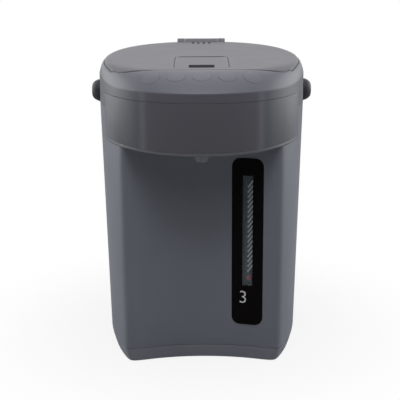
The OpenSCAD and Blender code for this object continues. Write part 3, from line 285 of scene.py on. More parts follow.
class Colours(PropertyGroup):
    """Colours of the visible plastics"""

    body: FloatVectorProperty(
        name="Body", description="Body sleeve", subtype="COLOR",
        default=(0.202, 0.22, 0.263), min=0, max=1)
    cover: FloatVectorProperty(
        name="Top cover", description="Top cover and panel", subtype="COLOR",
        default=(0.176, 0.182, 0.214), min=0, max=1)
    lid: FloatVectorProperty(
        name="Lid", description="Lid, lever and hinge", subtype="COLOR",
        default=(0.162, 0.16, 0.185), min=0, max=1)
    nose: FloatVectorProperty(
        name="Nose", description="Housing over the spout", subtype="COLOR",
        default=(0.178, 0.183, 0.217), min=0, max=1)
    base: FloatVectorProperty(
        name="Base", description="Base moulding", subtype="COLOR",
        default=(0.232, 0.243, 0.288), min=0, max=1)
    # lighter than the nose's front, to paint the floor's reflection along the nose's lower rim
    underplate: FloatVectorProperty(
        name="Underplate", description="Plate under the nose", subtype="COLOR",
        default=(0.165, 0.168, 0.195), min=0, max=1)
    nozzle: FloatVectorProperty(
        name="Nozzle", description="Spout nozzle", subtype="COLOR",
        default=(0.2, 0.205, 0.235), min=0, max=1)
    dark: FloatVectorProperty(
        name="Handle", description="Handle and its bosses", subtype="COLOR",
        default=(0.05, 0.054, 0.066), min=0, max=1)
    key: FloatVectorProperty(
        name="Buttons", description="Push buttons", subtype="COLOR",
        default=(0.195, 0.201, 0.233), min=0, max=1)
    gauge: FloatVectorProperty(
        name="Gauge panel", description="Glossy gauge panel", subtype="COLOR",
        default=(0.0035, 0.002, 0.0028), min=0, max=1)
    slate: FloatVectorProperty(
        name="Gauge backing", description="Strip behind the level tube", subtype="COLOR",
        default=(0.06, 0.095, 0.12), min=0, max=1)
    stripe: FloatVectorProperty(
        name="Gauge stripes", description="Slanting stripes on the pane's back", subtype="COLOR",
        default=(0.55, 0.62, 0.66), min=0, max=1)
    numeral: FloatVectorProperty(
        name="Numeral", description="Numeral on the gauge", subtype="COLOR",
        default=(0.85, 0.85, 0.85), min=0, max=1)
    red: FloatVectorProperty(
        name="Float", description="Float in the level tube", subtype="COLOR",
        default=(0.9, 0.03, 0.09), min=0, max=1)


class StageSettings(PropertyGroup):
    """Lamps, floor and camera"""

    back_light: FloatProperty(
        name="Back light", description="Power of the lamp above and behind",
        default=2.2, min=0, unit="POWER")
    front_light: FloatProperty(
        name="Front light", description="Power of the lamp above and in front",
        default=3.3, min=0, unit="POWER")
    steep_light: FloatProperty(
        name="Steep light", description="Power of the small lamp above the front",
        default=6.0, min=0, unit="POWER")
    side_light: FloatProperty(
        name="Side lights", description="Power of each side lamp",
        default=6.9, min=0, unit="POWER")
    rim_light: FloatProperty(
        name="Rim lights", description="Power of each side lamp further back",
        default=2.4, min=0, unit="POWER")
    ambient: FloatProperty(
        name="Ambient", description="Strength of the light from all round", default=0.01, min=0)
    lens: FloatProperty(
        name="Focal length", description="Camera's focal length", default=94.256, min=10, unit="CAMERA")


class ThermoPotSettings(PropertyGroup):
    """All settings of the pot"""

    shell: PointerProperty(type=ShellSizes)
    lid: PointerProperty(type=LidSizes)
    gauge: PointerProperty(type=GaugeSizes)
    coil: PointerProperty(type=CoilSizes)
    colours: PointerProperty(type=Colours)
    stage: PointerProperty(type=StageSettings)


# ---------------------------------------------------------------- forms of the pot


def clamp(u):
    """A number held between 0 and 1."""
    return max(0.0, min(1.0, u))


def smooth(u):
    """A soft step from 0 to 1."""
    v = clamp(u)
    return v * v * (3 - 2 * v)


def soft_min(a, b, p):
    """The smaller of two radii, with their crossing rounded."""
    return (a ** -p + b ** -p) ** (-1 / p)


def from_front(phi):
    """Degrees between a direction and the front."""
    return abs(math.degrees(math.atan2(math.sin(phi), math.cos(phi))))


def turned(phi, start, span):
    """Share of a span in degrees by which a direction has turned past a start."""
    return (from_front(phi) - start) / span


def oval_r(phi, inset=0.0, share=0.0):
    """Radius of the pot's oval plan in a direction counted from the front; share is 1 at the floor."""
    n, b = REAR_N, REAR_REACH
    if math.cos(phi) >= 0:
        n, b = FRONT_N - FLOOR_N * share, FRONT_REACH + FLOOR_REACH * share
    b -= inset
    return ((abs(math.sin(phi)) / (HALF_W - inset)) ** n + (abs(math.cos(phi)) / b) ** n) ** (-1 / n)


def arc_r(phi, radius):
    """Distance to the hollow front."""
    gap = CENTRE_Y - NOTCH_Y
    under = radius ** 2 - (gap * math.sin(phi)) ** 2
    return gap * math.cos(phi) - math.sqrt(under) if math.cos(phi) > 0 and under > 0 else FAR


def line_r(phi, dist):
    """Distance to a line across the plan."""
    return dist / math.cos(phi) if math.cos(phi) * dist > abs(dist) * 0.05 else FAR


def body_r(phi, draft, depth=0.0, tuck=0.0):
    """Radius of the body sleeve at a draft, at a depth inside its outer face."""
    column = oval_r(phi, draft + depth + tuck, draft / BODY_DRAFT)
    return soft_min(column, arc_r(phi, NOTCH_R + depth), CORNER_P)


def draft_at(z):
    """How far the sleeve is drawn in at a height."""
    return BODY_DRAFT * max(0.0, SEAM_H - z) / SEAM_H


def lid_r(phi, inset=0.0):
    """Radius of the lid's plan."""
    bow = 1 - LID_BOW * min(abs(math.sin(phi)), LID_BOW_END) ** LID_BOW_P
    edge = line_r(phi, CENTRE_Y - LID_FRONT_Y - inset) * bow
    front = soft_min(oval_r(phi, LID_INSET + inset), edge, LID_CORNER_P)
    return soft_min(front, line_r(phi, CENTRE_Y - LID_REAR_Y + inset), LID_CORNER_P)


def plane_z(y):
    """Height of the lid's gently sloping plane."""
    return TOP_H - LID_SLOPE * (CENTRE_Y + REAR_REACH - y)


def crease_z(phi):
    """Height of the crease round the top cover."""
    return CREASE_H + CREASE_RISE * smooth(turned(phi, *CREASE_TURN))


def top_z(phi, r):
    """Height of the top surface in a direction, at a radius."""
    edge = oval_r(phi)
    start = min(FALL_START, line_r(phi, CENTRE_Y - LID_FRONT_Y) / edge)
    u = max(0.0, (min(1.0, r / edge) - start) / (1 - start))
    power = FRONT_FALL + SIDE_GAIN * clamp(turned(phi, *PANEL_TURN)) ** 1.8
    power += (REAR_FALL - power) * smooth(turned(phi, *REAR_TURN))
    fall = plane_z(CENTRE_Y - edge * math.cos(phi)) - crease_z(phi)
    return plane_z(CENTRE_Y - r * math.cos(phi)) - fall * u ** power


def surface_z(x, y):
    """Height of the top surface over a point of the plan."""
    return top_z(math.atan2(x, CENTRE_Y - y), math.hypot(x, y - CENTRE_Y))


def surface_normal(x, y, step=0.5):
    """Direction out of the top surface."""
    return Vector((
        surface_z(x - step, y) - surface_z(x + step, y),
        surface_z(x, y - step) - surface_z(x, y + step),
        2 * step)).normalized()


def nose_z(x):
    """Height of the nose housing's curved lower edge."""
    return NOSE_LOW + NOSE_ARC_R - math.sqrt(NOSE_ARC_R ** 2 - x * x)


def at(phi, r, z):
    """A point in a direction from the plan's middle line."""
    return Vector((r * math.sin(phi), CENTRE_Y - r * math.cos(phi), z))


def upright(phi, section):
    """The points of a section that stands in a direction."""
    return [at(phi, p.x, p.y) for p in section]


def all_round(sections):
    """Rings that join the open sections of all directions."""
    return [[at(phi, p.x, p.y) for phi, p in zip(DIRS, row)] for row in zip(*sections)]


def crosswise(x, y, z, side=1):
    """A frame at a point with its Z along X, to the right or to the left."""
    return Matrix.Translation((x, y, z)) @ Matrix.Rotation(side * math.pi / 2, 4, "Y")


def in_metres(place):
    """A frame in millimetres as one for a mesh in metres."""
    made = place.copy()
    made.translation = place.translation * MM
    return made


GAUGE_FRAME = Matrix.Translation((GAUGE_X, GAUGE_Y, 0)) @ Matrix.Rotation(-GAUGE_TURN, 4, "Z")
LID_FRAME = Matrix.Translation((0, 0, plane_z(0))) @ Matrix.Rotation(math.atan(LID_SLOPE), 4, "X")
HANDLE_FRAME = Matrix.Translation((0, 0, PIVOT_H)) @ Matrix.Rotation(-HANDLE_DROP, 4, "X")
FROM_BACK = Matrix.Rotation(math.pi / 2, 4, "X")    # turns an outline's Y up and its height to the front
GAUGE_FACE = GAUGE_FRAME @ FROM_BACK
# turns an outline's X to Y and its Y up, and its height to the right
LENGTHWAYS = Matrix(((0, 0, 1, 0), (1, 0, 0, 0), (0, 1, 0, 0), (0, 0, 0, 1)))
LEVER_AXIS_Z = plane_z(LEVER_AXIS_Y) - HUB_R


# ---------------------------------------------------------------- meshes


def linked(name, mesh):
    """An object of that mesh in the scene."""
    made = bpy.data.objects.new(name, mesh)
    bpy.context.scene.collection.objects.link(made)
    return made


def mesh_of(bm, name):
    """A new mesh from a bmesh, which is then freed."""
    mesh = bpy.data.meshes.new(name)
    bm.to_mesh(mesh)
    bm.free()
    return mesh


def mesh_from(name, points, faces, place=None):
    """A closed mesh from points in millimetres, with its faces outwards."""
    bm = bmesh.new()
    for point in points:
        bm.verts.new((place @ Vector(point) if place else Vector(point)) * MM)
    bm.verts.ensure_lookup_table()
    for face in faces:
        bm.faces.new([bm.verts[i] for i in face])
    bmesh.ops.remove_doubles(bm, verts=bm.verts, dist=2e-7)
    bmesh.ops.recalc_face_normals(bm, faces=bm.faces)
    return mesh_of(bm, name)


def loft(name, rings, round_trip=False, place=None):
    """A solid through rings of equal length; the ends are closed, or joined to each other."""
    n, m = len(rings[0]), len(rings)
    points = [p for ring in rings for p in ring]
    faces = []
    for k in range(m if round_trip else m - 1):
        a, b = k * n, (k + 1) % m * n
        faces += [(a + i, a + (i + 1) % n, b + (i + 1) % n, b + i) for i in range(n)]
    if not round_trip:
        for start in (0, (m - 1) * n):
            middle = sum((Vector(p) for p in points[start:start + n]), Vector((0, 0, 0))) / n
            points.append(middle)
            hub = len(points) - 1
            faces += [(hub, start + i, start + (i + 1) % n) for i in range(n)]
    return mesh_from(name, points, faces, place)


def soften(points, sizes, steps=4, closed=True):
    """A section with its corners rounded, each by the size given for its number."""
    made = []
    for i, point in enumerate(points):
        p = Vector(point)
        if not sizes.get(i) or (not closed and i in (0, len(points) - 1)):
            made.append(p)
            continue
        before, after = Vector(points[i - 1]) - p, Vector(points[(i + 1) % len(points)]) - p
        a = p + before.normalized() * min(sizes[i], 0.45 * before.length)
        b = p + after.normalized() * min(sizes[i], 0.45 * after.length)
        for k in range(steps + 1):
            t = k / steps
            made.append(a * (1 - t) ** 2 + p * 2 * t * (1 - t) + b * t * t)
    return made


def wheel(name, section, n=64, place=None):
    """A solid of revolution about Z from an open section that starts and ends on its axis, or from a ring."""
    on_axis = abs(section[0][0]) < 1e-6
    rings = [[(max(r, 1e-5) * math.cos(math.tau * i / n), max(r, 1e-5) * math.sin(math.tau * i / n), z)
              for i in range(n)] for r, z in section]
    return loft(name, rings, round_trip=not on_axis, place=place)


def spun(name, profile, n=64, place=None):
    """A solid of revolution about Z from a profile: its points, and the roundings of its corners."""
    points, roundings = profile
    return wheel(name, soften(points, roundings, closed=False), n, place)


def rod(name, radius, low, high, place=None, n=32):
    """A round rod along Z."""
    return wheel(name, [(0, low), (radius, low), (radius, high), (0, high)], n, place)


def prism(name, outline, low, high, place=None):
    """An upright prism over an outline."""
    n = len(outline)
    points = [(x, y, low) for x, y in outline] + [(x, y, high) for x, y in outline]
    faces = [tuple(range(n)), tuple(range(n, 2 * n))]
    faces += [(i, (i + 1) % n, n + (i + 1) % n, n + i) for i in range(n)]
    return mesh_from(name, points, faces, place)


def block(name, low, high, place=None):
    """A box between two corners."""
    outline = [(low[0], low[1]), (high[0], low[1]), (high[0], high[1]), (low[0], high[1])]
    return prism(name, outline, low[2], high[2], place)


def soft_rect(w, d, r, x=0.0, y=0.0, n=10):
    """Outline of a rectangle with round corners."""
    outline = []
    for quarter, (sx, sy) in enumerate(((1, 1), (-1, 1), (-1, -1), (1, -1))):
        for k in range(n + 1):
            a = math.pi / 2 * (quarter + k / n)
            outline.append((x + sx * (w / 2 - r) + r * math.cos(a), y + sy * (d / 2 - r) + r * math.sin(a)))
    return outline


def ellipse(a, b, n=64):
    """Outline of an ellipse."""
    return [(a * math.cos(math.tau * i / n), b * math.sin(math.tau * i / n)) for i in range(n)]


def plain_mesh(thing):
    """The evaluated mesh of an object, which is then removed."""
    bpy.context.view_layer.update()
    mesh = bpy.data.meshes.new_from_object(thing.evaluated_get(bpy.context.evaluated_depsgraph_get()))
    bpy.data.objects.remove(thing)
    return mesh


def worked(mesh, cutters=(), joined=(), kept=None, bevel=0.0, segments=3, limit=40):
    """A mesh with others joined to it, one limiting it and others cut from it, and its edges then rounded."""
    thing = linked("work", mesh)
    helpers = []
    steps = [(m, "UNION") for m in joined] + ([(kept, "INTERSECT")] if kept else [])
    for other, operation in steps + [(m, "DIFFERENCE") for m in cutters]:
        helper = linked("helper", other)
        helpers.append(helper)
        step = thing.modifiers.new("step", "BOOLEAN")
        step.operation, step.solver, step.object = operation, "EXACT", helper
    if bevel:
        rounding = thing.modifiers.new("rounding", "BEVEL")
        rounding.width, rounding.segments = bevel * MM, segments
        rounding.limit_method, rounding.angle_limit = "ANGLE", math.radians(limit)
        rounding.use_clamp_overlap = True
    made = plain_mesh(thing)
    for helper in helpers:
        bpy.data.objects.remove(helper)
    return made


def merged(*meshes):
    """Several closed meshes as one mesh."""
    bm = bmesh.new()
    for mesh in meshes:
        bm.from_mesh(mesh)
    return mesh_of(bm, "merged")


def copy_of(node):
    """A CAD node's mesh with its loose triangles joined."""
    bm = bmesh.new()
    bm.from_mesh(frame["nodes"][node].data)
    bmesh.ops.remove_doubles(bm, verts=bm.verts, dist=2e-6)
    bmesh.ops.dissolve_limit(
        bm, angle_limit=math.radians(0.4), verts=bm.verts, edges=bm.edges, use_dissolve_boundaries=False)
    return mesh_of(bm, node)


def piece(name, mesh, body, slot, material=None, crisp=32, even=False):
    """A finished piece that rides on a body and stands for the CAD node of its name, if there is one.

    Its finish is that of its slot, or a material of its own. Edges sharper than crisp stay sharp, and even
    keeps flat faces flat beside round edges.
    """
    if not mesh.polygons:
        raise RuntimeError(name + " has no faces")
    mesh.materials.clear()
    mesh.materials.append(material or finish(slot))
    for polygon in mesh.polygons:
        polygon.material_index = 0
    mesh.shade_smooth()
    mesh.set_sharp_from_angle(angle=math.radians(crisp))
    if even:
        thing = linked("work", mesh)
        step = thing.modifiers.new("step", "WEIGHTED_NORMAL")
        step.keep_sharp, step.weight = True, 100
        mesh = plain_mesh(thing)
    mesh.name = name
    made = linked(name, mesh)
    if name in frame["nodes"]:
        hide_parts(name)
    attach(made, body)
    return made


# ---------------------------------------------------------------- node trees


def wire(tree, kind, inputs=None, **options):
    """A node with its options, and its inputs set or linked."""
    node = tree.nodes.new(kind)
    for key, value in options.items():
        setattr(node, key, value)
    for key, value in (inputs or {}).items():
        if isinstance(value, bpy.types.NodeSocket):
            tree.links.new(value, node.inputs[key])
        else:
            node.inputs[key].default_value = value
    return node


def calc(tree, operation, first, second=0.0):
    """The result of an operation on one or two numbers."""
    return wire(tree, "ShaderNodeMath", {0: first, 1: second}, operation=operation).outputs[0]


def ranged(tree, field, low, high, start=0.0, end=1.0, **options):
    """A field mapped from its own start and end onto a range."""
    values = {"Value": field, "From Min": start, "From Max": end, "To Min": low, "To Max": high}
    return wire(tree, "ShaderNodeMapRange", values, **options).outputs[0]


def blended(tree, share, first, second, way="MIX"):
    """Two colours blended."""
    values = {0: share, 6: first, 7: second}
    return wire(tree, "ShaderNodeMix", values, data_type="RGBA", blend_type=way).outputs[2]


def empty_tree(holder):
    """The node tree of a material or world, without nodes."""
    holder.use_nodes = True
    holder.node_tree.nodes.clear()
    return holder.node_tree


def growth(name, inputs):
    """An empty geometry tree with named inputs: (tree, its input node)."""
    tree = bpy.data.node_groups.new(name, "GeometryNodeTree")
    for label, kind in inputs.items():
        tree.interface.new_socket(label, in_out="INPUT", socket_type=kind)
    tree.interface.new_socket("Geometry", in_out="OUTPUT", socket_type="NodeSocketGeometry")
    return tree, tree.nodes.new("NodeGroupInput")


def close_tree(tree, geometry, material):
    """Ends a geometry tree: instances made real, and the material set."""
    real = wire(tree, "GeometryNodeRealizeInstances", {"Geometry": geometry})
    painted = wire(tree, "GeometryNodeSetMaterial", {"Geometry": real.outputs[0], "Material": material})
    wire(tree, "NodeGroupOutput", {"Geometry": painted.outputs[0]})
    return tree


def grown(tree, values, start=None):
    """The plain mesh that a geometry tree makes with some values, starting from a mesh if wanted."""
    carrier = linked("carrier", start or bpy.data.meshes.new("carrier"))
    step = carrier.modifiers.new("growth", "NODES")
    step.node_group = tree
    for item in tree.interface.items_tree:
        if item.item_type == "SOCKET" and item.in_out == "INPUT" and item.name in values:
            step[item.identifier] = values[item.name]
    return plain_mesh(carrier)


def repeat_tree():
    """Sets one piece at each point of a mesh."""
    name = "Piece at each place"
    if name in bpy.data.node_groups:
        return bpy.data.node_groups[name]
    tree, given = growth(name, {
        "Places": "NodeSocketGeometry", "Piece": "NodeSocketObject", "Material": "NodeSocketMaterial"})
    source = wire(tree, "GeometryNodeObjectInfo", {"Object": given.outputs["Piece"]})
    source.inputs["As Instance"].default_value = True
    spread = wire(tree, "GeometryNodeInstanceOnPoints", {
        "Points": given.outputs["Places"], "Instance": source.outputs["Geometry"]})
    return close_tree(tree, spread.outputs[0], given.outputs["Material"])


def repeated(model, points, slot):
    """One mesh with a model at each of some points in millimetres, in a slot's finish."""
    pattern = linked("pattern", model)
    values = {"Piece": pattern, "Material": finish(slot)}
    made = grown(repeat_tree(), values, mesh_from("places", points, []))
    bpy.data.objects.remove(pattern)
    return made


def stripe_tree():
    """Slanting flat ribs one above another."""
    tree, given = growth("Slanting ribs", {
        "Count": "NodeSocketInt", "Pitch": "NodeSocketFloat", "Length": "NodeSocketFloat",
        "Width": "NodeSocketFloat", "Thickness": "NodeSocketFloat", "Lean": "NodeSocketFloat",
        "First": "NodeSocketVector", "Material": "NodeSocketMaterial"})
    offset = wire(tree, "ShaderNodeCombineXYZ", {"Z": given.outputs["Pitch"]})
    line = wire(tree, "GeometryNodeMeshLine", {
        "Count": given.outputs["Count"], "Start Location": given.outputs["First"],
        "Offset": offset.outputs[0]})
    size = wire(tree, "ShaderNodeCombineXYZ", {
        "X": given.outputs["Length"], "Y": given.outputs["Thickness"], "Z": given.outputs["Width"]})
    rib = wire(tree, "GeometryNodeMeshCube", {
        "Size": size.outputs[0], "Vertices X": 6, "Vertices Y": 2, "Vertices Z": 3})
    turn = wire(tree, "ShaderNodeCombineXYZ", {"Y": calc(tree, "MULTIPLY", given.outputs["Lean"], -1.0)})
    spread = wire(tree, "GeometryNodeInstanceOnPoints", {
        "Points": line.outputs[0], "Instance": rib.outputs["Mesh"], "Rotation": turn.outputs[0]})
    return close_tree(tree, spread.outputs[0], given.outputs["Material"])


def coil_tree():
    """A wire spring about Z."""
    tree, given = growth("Wire spring", {
        "Turns": "NodeSocketFloat", "Radius": "NodeSocketFloat", "Height": "NodeSocketFloat",
        "Wire": "NodeSocketFloat", "Material": "NodeSocketMaterial"})
    path = wire(tree, "GeometryNodeCurveSpiral", {
        "Resolution": 28, "Rotations": given.outputs["Turns"], "Start Radius": given.outputs["Radius"],
        "End Radius": given.outputs["Radius"], "Height": given.outputs["Height"]})
    section = wire(tree, "GeometryNodeCurvePrimitiveCircle", {
        "Resolution": 10, "Radius": given.outputs["Wire"]})
    swept = wire(tree, "GeometryNodeCurveToMesh", {
        "Curve": path.outputs[0], "Profile Curve": section.outputs[0], "Fill Caps": True})
    return close_tree(tree, swept.outputs[0], given.outputs["Material"])


# ---------------------------------------------------------------- finishes

FINISHES = {}


def shades(colour, spread):
    """A darker and a lighter shade of a colour."""
    return [tuple(min(1.0, c * k) for c in colour) + (1.0,) for k in (1 - spread, 1 + spread)]


def new_finish(name, **constants):
    """A material with a Principled shader: (material, tree, shader, object coordinates)."""
    made = bpy.data.materials.new(name)
    tree = empty_tree(made)
    shader = wire(tree, "ShaderNodeBsdfPrincipled")
    for key, value in constants.items():
        shader.inputs[key.replace("_", " ").title().replace("Ior", "IOR")].default_value = value
    wire(tree, "ShaderNodeOutputMaterial", {"Surface": shader.outputs[0]})
    return made, tree, shader, wire(tree, "ShaderNodeTexCoord").outputs["Object"]


def noise(tree, place, size, detail=3.0, stretch=None):
    """Noise with features of a size in metres, drawn out along an axis if wanted."""
    if stretch:
        place = wire(tree, "ShaderNodeMapping", {"Vector": place, "Scale": stretch}).outputs[0]
    return wire(tree, "ShaderNodeTexNoise", {"Vector": place, "Scale": 1 / size, "Detail": detail}).outputs[0]


def tinted(tree, shader, field, colour, spread, low=0.3, high=0.7):
    """Colours a shader between two shades by a field."""
    ramp = wire(tree, "ShaderNodeValToRGB", {"Fac": field})
    for stop, place, shade in zip(ramp.color_ramp.elements, (low, high), shades(colour, spread)):
        stop.position, stop.color = place, shade
    tree.links.new(ramp.outputs[0], shader.inputs["Base Color"])
    return ramp


def raised(tree, shader, field, strength, depth):
    """Bump from a field."""
    bump = wire(tree, "ShaderNodeBump", {"Height": field, "Strength": strength, "Distance": depth})
    tree.links.new(bump.outputs[0], shader.inputs["Normal"])


def painted_front_light(middle, line, side, far):
    """Painted light for the upright front, the same to the left and to the right: a painted dark reflection
    over the middle, a painted highlight along each bend and painted shade further out.
    """
    def shade(tree, place, base):
        x = wire(tree, "ShaderNodeSeparateXYZ", {0: place}).outputs["X"]
        way = ranged(tree, calc(tree, "ABSOLUTE", x), 0.0, 1.0, BEND_START * MM, BEND_END * MM)
        ramp = wire(tree, "ShaderNodeValToRGB", {"Fac": way})
        stops = ramp.color_ramp.elements
        while len(stops) < len(PAINTED_LIGHT_STOPS):
            stops.new(0.5)
        for stop, share, tone in zip(stops, PAINTED_LIGHT_STOPS, (middle, middle, line, side, side, far)):
            stop.position, stop.color = share, tuple(tone) + (1.0,)
        # the colour multiplied by the painted reflection, highlight and shade
        return blended(tree, 1.0, base, ramp.outputs[0], "MULTIPLY")
    return shade


def held_by(mask, shade):
    """Painted light that holds only where a mask is 1."""
    def held(tree, place, base):
        return blended(tree, mask(tree, place), base, shade(tree, place, base))
    return held


def under_crease(tree, place):
    """1 on the upright front under the crease, where the cover gets its painted light."""
    sides = wire(tree, "ShaderNodeSeparateXYZ", {0: place}).outputs
    low = ranged(tree, sides["Z"], 1.0, 0.0, (CREASE_H - 0.5) * MM, CREASE_H * MM)
    near = ranged(tree, sides["Y"], 1.0, 0.0, *(y * MM for y in COVER_FADE_Y))
    return calc(tree, "MULTIPLY", low, near)


def before_sides(tree, place):
    """1 on the front, and less where the surface turns back along the sides: where the nose gets its painted
    light.
    """
    side = wire(tree, "ShaderNodeSeparateXYZ", {0: place}).outputs["Y"]
    return ranged(tree, side, 1.0, NOSE_FADE, *(y * MM for y in NOSE_FADE_Y))


def moulded(name, colour, rough, spread=0.03, grain=0.25, grain_size=0.0009, shade=None, **constants):
    """Moulded plastic: a faint cloudiness in the colour and a fine grain in the surface, and painted light
    over the colour where a shade is given.
    """
    made, tree, shader, place = new_finish(name, **constants)
    ramp = tinted(tree, shader, noise(tree, place, 0.06), colour, spread)
    # a shade, where given, is painted light and shade laid over the colour
    if shade:
        tree.links.new(shade(tree, place, ramp.outputs[0]), shader.inputs["Base Color"])
    fine = noise(tree, place, grain_size, 2.0)
    cloud = noise(tree, place, 0.02, 4.0)
    tree.links.new(ranged(tree, cloud, rough - 0.04, rough + 0.04), shader.inputs["Roughness"])
    raised(tree, shader, fine, grain, 0.00003)
    return made


def brushed(name, colour, rough, stretch=(1, 1, 0.02), spread=0.08, **constants):
    """Metal with fine lines that run one way."""
    made, tree, shader, place = new_finish(name, metallic=1.0, **constants)
    lines = noise(tree, place, 0.0006, 3.0, stretch)
    tinted(tree, shader, lines, colour, spread)
    tree.links.new(ranged(tree, lines, rough - 0.08, rough + 0.08), shader.inputs["Roughness"])
    raised(tree, shader, lines, 0.12, 0.00002)
    return made


def polished(name, colour, rough):
    """Smooth metal with faint scuffs."""
    made, tree, shader, place = new_finish(name, metallic=1.0)
    scuffs = noise(tree, place, 0.002, 5.0)
    tinted(tree, shader, scuffs, colour, 0.05)
    tree.links.new(ranged(tree, scuffs, rough - 0.05, rough + 0.08), shader.inputs["Roughness"])
    return made


def clear(name, colour, ior):
    """Clear plastic with the faintest waviness."""
    made, tree, shader, place = new_finish(name, alpha=0.14, ior=ior)
    waves = noise(tree, place, 0.01, 1.0)
    tinted(tree, shader, waves, colour, 0.01)
    tree.links.new(ranged(tree, waves, 0.01, 0.04), shader.inputs["Roughness"])
    return made


def circuit_board(name, colour):
    """Lacquered board with paler copper tracks."""
    made, tree, shader, place = new_finish(name, coat_weight=0.3)
    tracks = wire(tree, "ShaderNodeTexBrick", {
        "Vector": place, "Scale": 90.0, "Mortar Size": 0.03, "Color1": shades(colour, 0.1)[0],
        "Color2": shades(colour, 0.25)[0], "Mortar": shades(colour, 0.6)[1]})
    tree.links.new(tracks.outputs[0], shader.inputs["Base Color"])
    tree.links.new(ranged(tree, noise(tree, place, 0.004), 0.3, 0.5), shader.inputs["Roughness"])
    return made


def wound_band(name, colour):
    """Clamp band of a heater, with fine ribs round it and heat-tinted patches."""
    made, tree, shader, place = new_finish(name, metallic=0.8)
    ribs = wire(tree, "ShaderNodeTexWave", {"Vector": place, "Scale": 90.0, "Distortion": 0.2},
                bands_direction="Z")
    tinted(tree, shader, noise(tree, place, 0.02, 4.0), colour, 0.2)
    tree.links.new(ranged(tree, ribs.outputs[1], 0.35, 0.55), shader.inputs["Roughness"])
    raised(tree, shader, ribs.outputs[1], 0.3, 0.0002)
    return made


def make_finishes(colours):
    """All finishes: those of the record's material slots, and four more."""
    def add(kind, name, *values, **constants):
        FINISHES[name] = kind(name, *values, **constants)

    # painted dark reflection, highlight lines and shade on the upright fronts of the cover and the nose
    cover_painted_light = held_by(under_crease, painted_front_light(*COVER_PAINTED_LIGHT))
    nose_painted_light = held_by(before_sides, painted_front_light(*NOSE_PAINTED_LIGHT))
    add(moulded, "body_plastic", colours.body, 0.42, specular_ior_level=0.4)
    add(moulded, "cover_plastic", colours.cover, 0.42, shade=cover_painted_light, specular_ior_level=0.4)
    add(moulded, "lid_plastic", colours.lid, 0.45, specular_ior_level=0.4)
    add(moulded, "nose_plastic", colours.nose, 0.38, shade=nose_painted_light, specular_ior_level=0.35)
    # the underplate's lighter colour paints the floor's reflection along the nose's lower rim
    add(moulded, "underplate_pale", colours.underplate, 0.4)
    add(moulded, "nozzle_glossy", colours.nozzle, 0.16, grain=0.05, specular_ior_level=0.7)
    add(moulded, "dark_plastic", colours.dark, 0.5, grain=0.4, specular_ior_level=0.35)
    add(moulded, "base_plastic", colours.base, 0.5, grain=0.4, specular_ior_level=0.35)
    add(moulded, "key_plastic", colours.key, 0.45, grain=0.15, specular_ior_level=0.4)
    add(moulded, "inner_plastic", (0.7, 0.7, 0.68), 0.5)
    add(moulded, "silicone", (0.72, 0.72, 0.69), 0.6, grain=0.1, subsurface_weight=0.2)
    add(moulded, "foot_rubber", (0.02, 0.02, 0.022), 0.8, spread=0.15, grain=0.6)
    add(brushed, "steel", (0.62, 0.62, 0.61), 0.26)
    add(polished, "pin_steel", (0.7, 0.7, 0.7), 0.18)
    add(brushed, "shield_metal", (0.55, 0.55, 0.56), 0.45, stretch=(0.05, 0.05, 1))
    add(wound_band, "mica_band", (0.45, 0.38, 0.28))
    add(brushed, "motor_can", (0.5, 0.5, 0.52), 0.35, stretch=(1, 1, 0.05))
    add(moulded, "magnet_iron", (0.07, 0.07, 0.075), 0.6, spread=0.2, grain=0.5, metallic=0.4)
    add(circuit_board, "board_green", (0.05, 0.2, 0.08))
    add(moulded, "component_black", (0.03, 0.03, 0.034), 0.55, spread=0.1)
    add(polished, "contact_brass", (0.75, 0.58, 0.25), 0.25)
    add(moulded, "gauge_black", colours.gauge, 0.12, grain=0.02, specular_ior_level=0.06)
    add(moulded, "gauge_stripes", colours.slate, 0.5)
    add(moulded, "stripe_print", colours.stripe, 0.45)
    add(moulded, "numeral_print", colours.numeral, 0.5)
    add(clear, "clear_tube", (0.5, 0.56, 0.6), 1.3)
    add(clear, "clear_window", (0.3, 0.36, 0.4), 1.4)
    add(moulded, "float_red", colours.red, 0.3, grain=0.05)


def settings():
    """The scene's settings of the pot."""
    return bpy.context.scene.thermo_pot


def finish(name):
    """A finish by its name; all of them are made when the first is asked for."""
    if not FINISHES:
        make_finishes(settings().colours)
    return FINISHES[name]


# ---------------------------------------------------------------- base and body


class THERMOPOT_OT_base(Operator):
    """Base moulding with its four feet and screws"""

    bl_idname = "thermopot.base"
    bl_label = "Base"

    def execute(self, context):
        edge = settings().shell.edge / MM
        draft = draft_at(BASE_H)
        sections = []
        for phi in DIRS:
            tucks = [BASE_TUCK * ((BASE_H - z) / (BASE_H - BASE_LOW)) ** BASE_CURVE for z in BASE_LEVELS]
            outer = [(body_r(phi, draft, 0, tuck), z) for tuck, z in zip(tucks, BASE_LEVELS)]
            foot, wall = outer[0][0], body_r(phi, draft, WALL, BASE_TUCK)
            section = [(foot * 0.05, BASE_LOW), (foot * 0.97, BASE_LOW)] + outer
            section += [(body_r(phi, draft, WALL), BASE_H), (wall, TRAY_LEDGE), (wall, TRAY_FLOOR),
                        (wall * 0.05, TRAY_FLOOR)]
            sections.append(soften(section, {2: 1.2, 8: edge}, closed=False))
        sockets = [rod("socket", SOCKET_R, 0, SOCKET_H, Matrix.Translation((x, y, 0)), 48) for x, y in FEET]
        piece("base_tray", worked(loft("tray", all_round(sections)), cutters=sockets), "pot", "base_plastic")

        for name, profile, slot in (("base_feet", FOOT, "foot_rubber"), ("base_screws", SCREW, "pin_steel")):
            piece(name, repeated(spun("model", profile, 40), [(x, y, 0) for x, y in FEET], slot), "pot", slot)
        return {"FINISHED"}


def nose_space():
    """The space that the nose housing takes from the sleeve."""
    across = [-115 + 5 * i for i in range(47)]
    outline = [(x, nose_z(x) - FIT) for x in across] + [(115, 330), (-115, 330)]
    return prism("nose_space", outline, -NOSE_END_Y, 220, FROM_BACK)


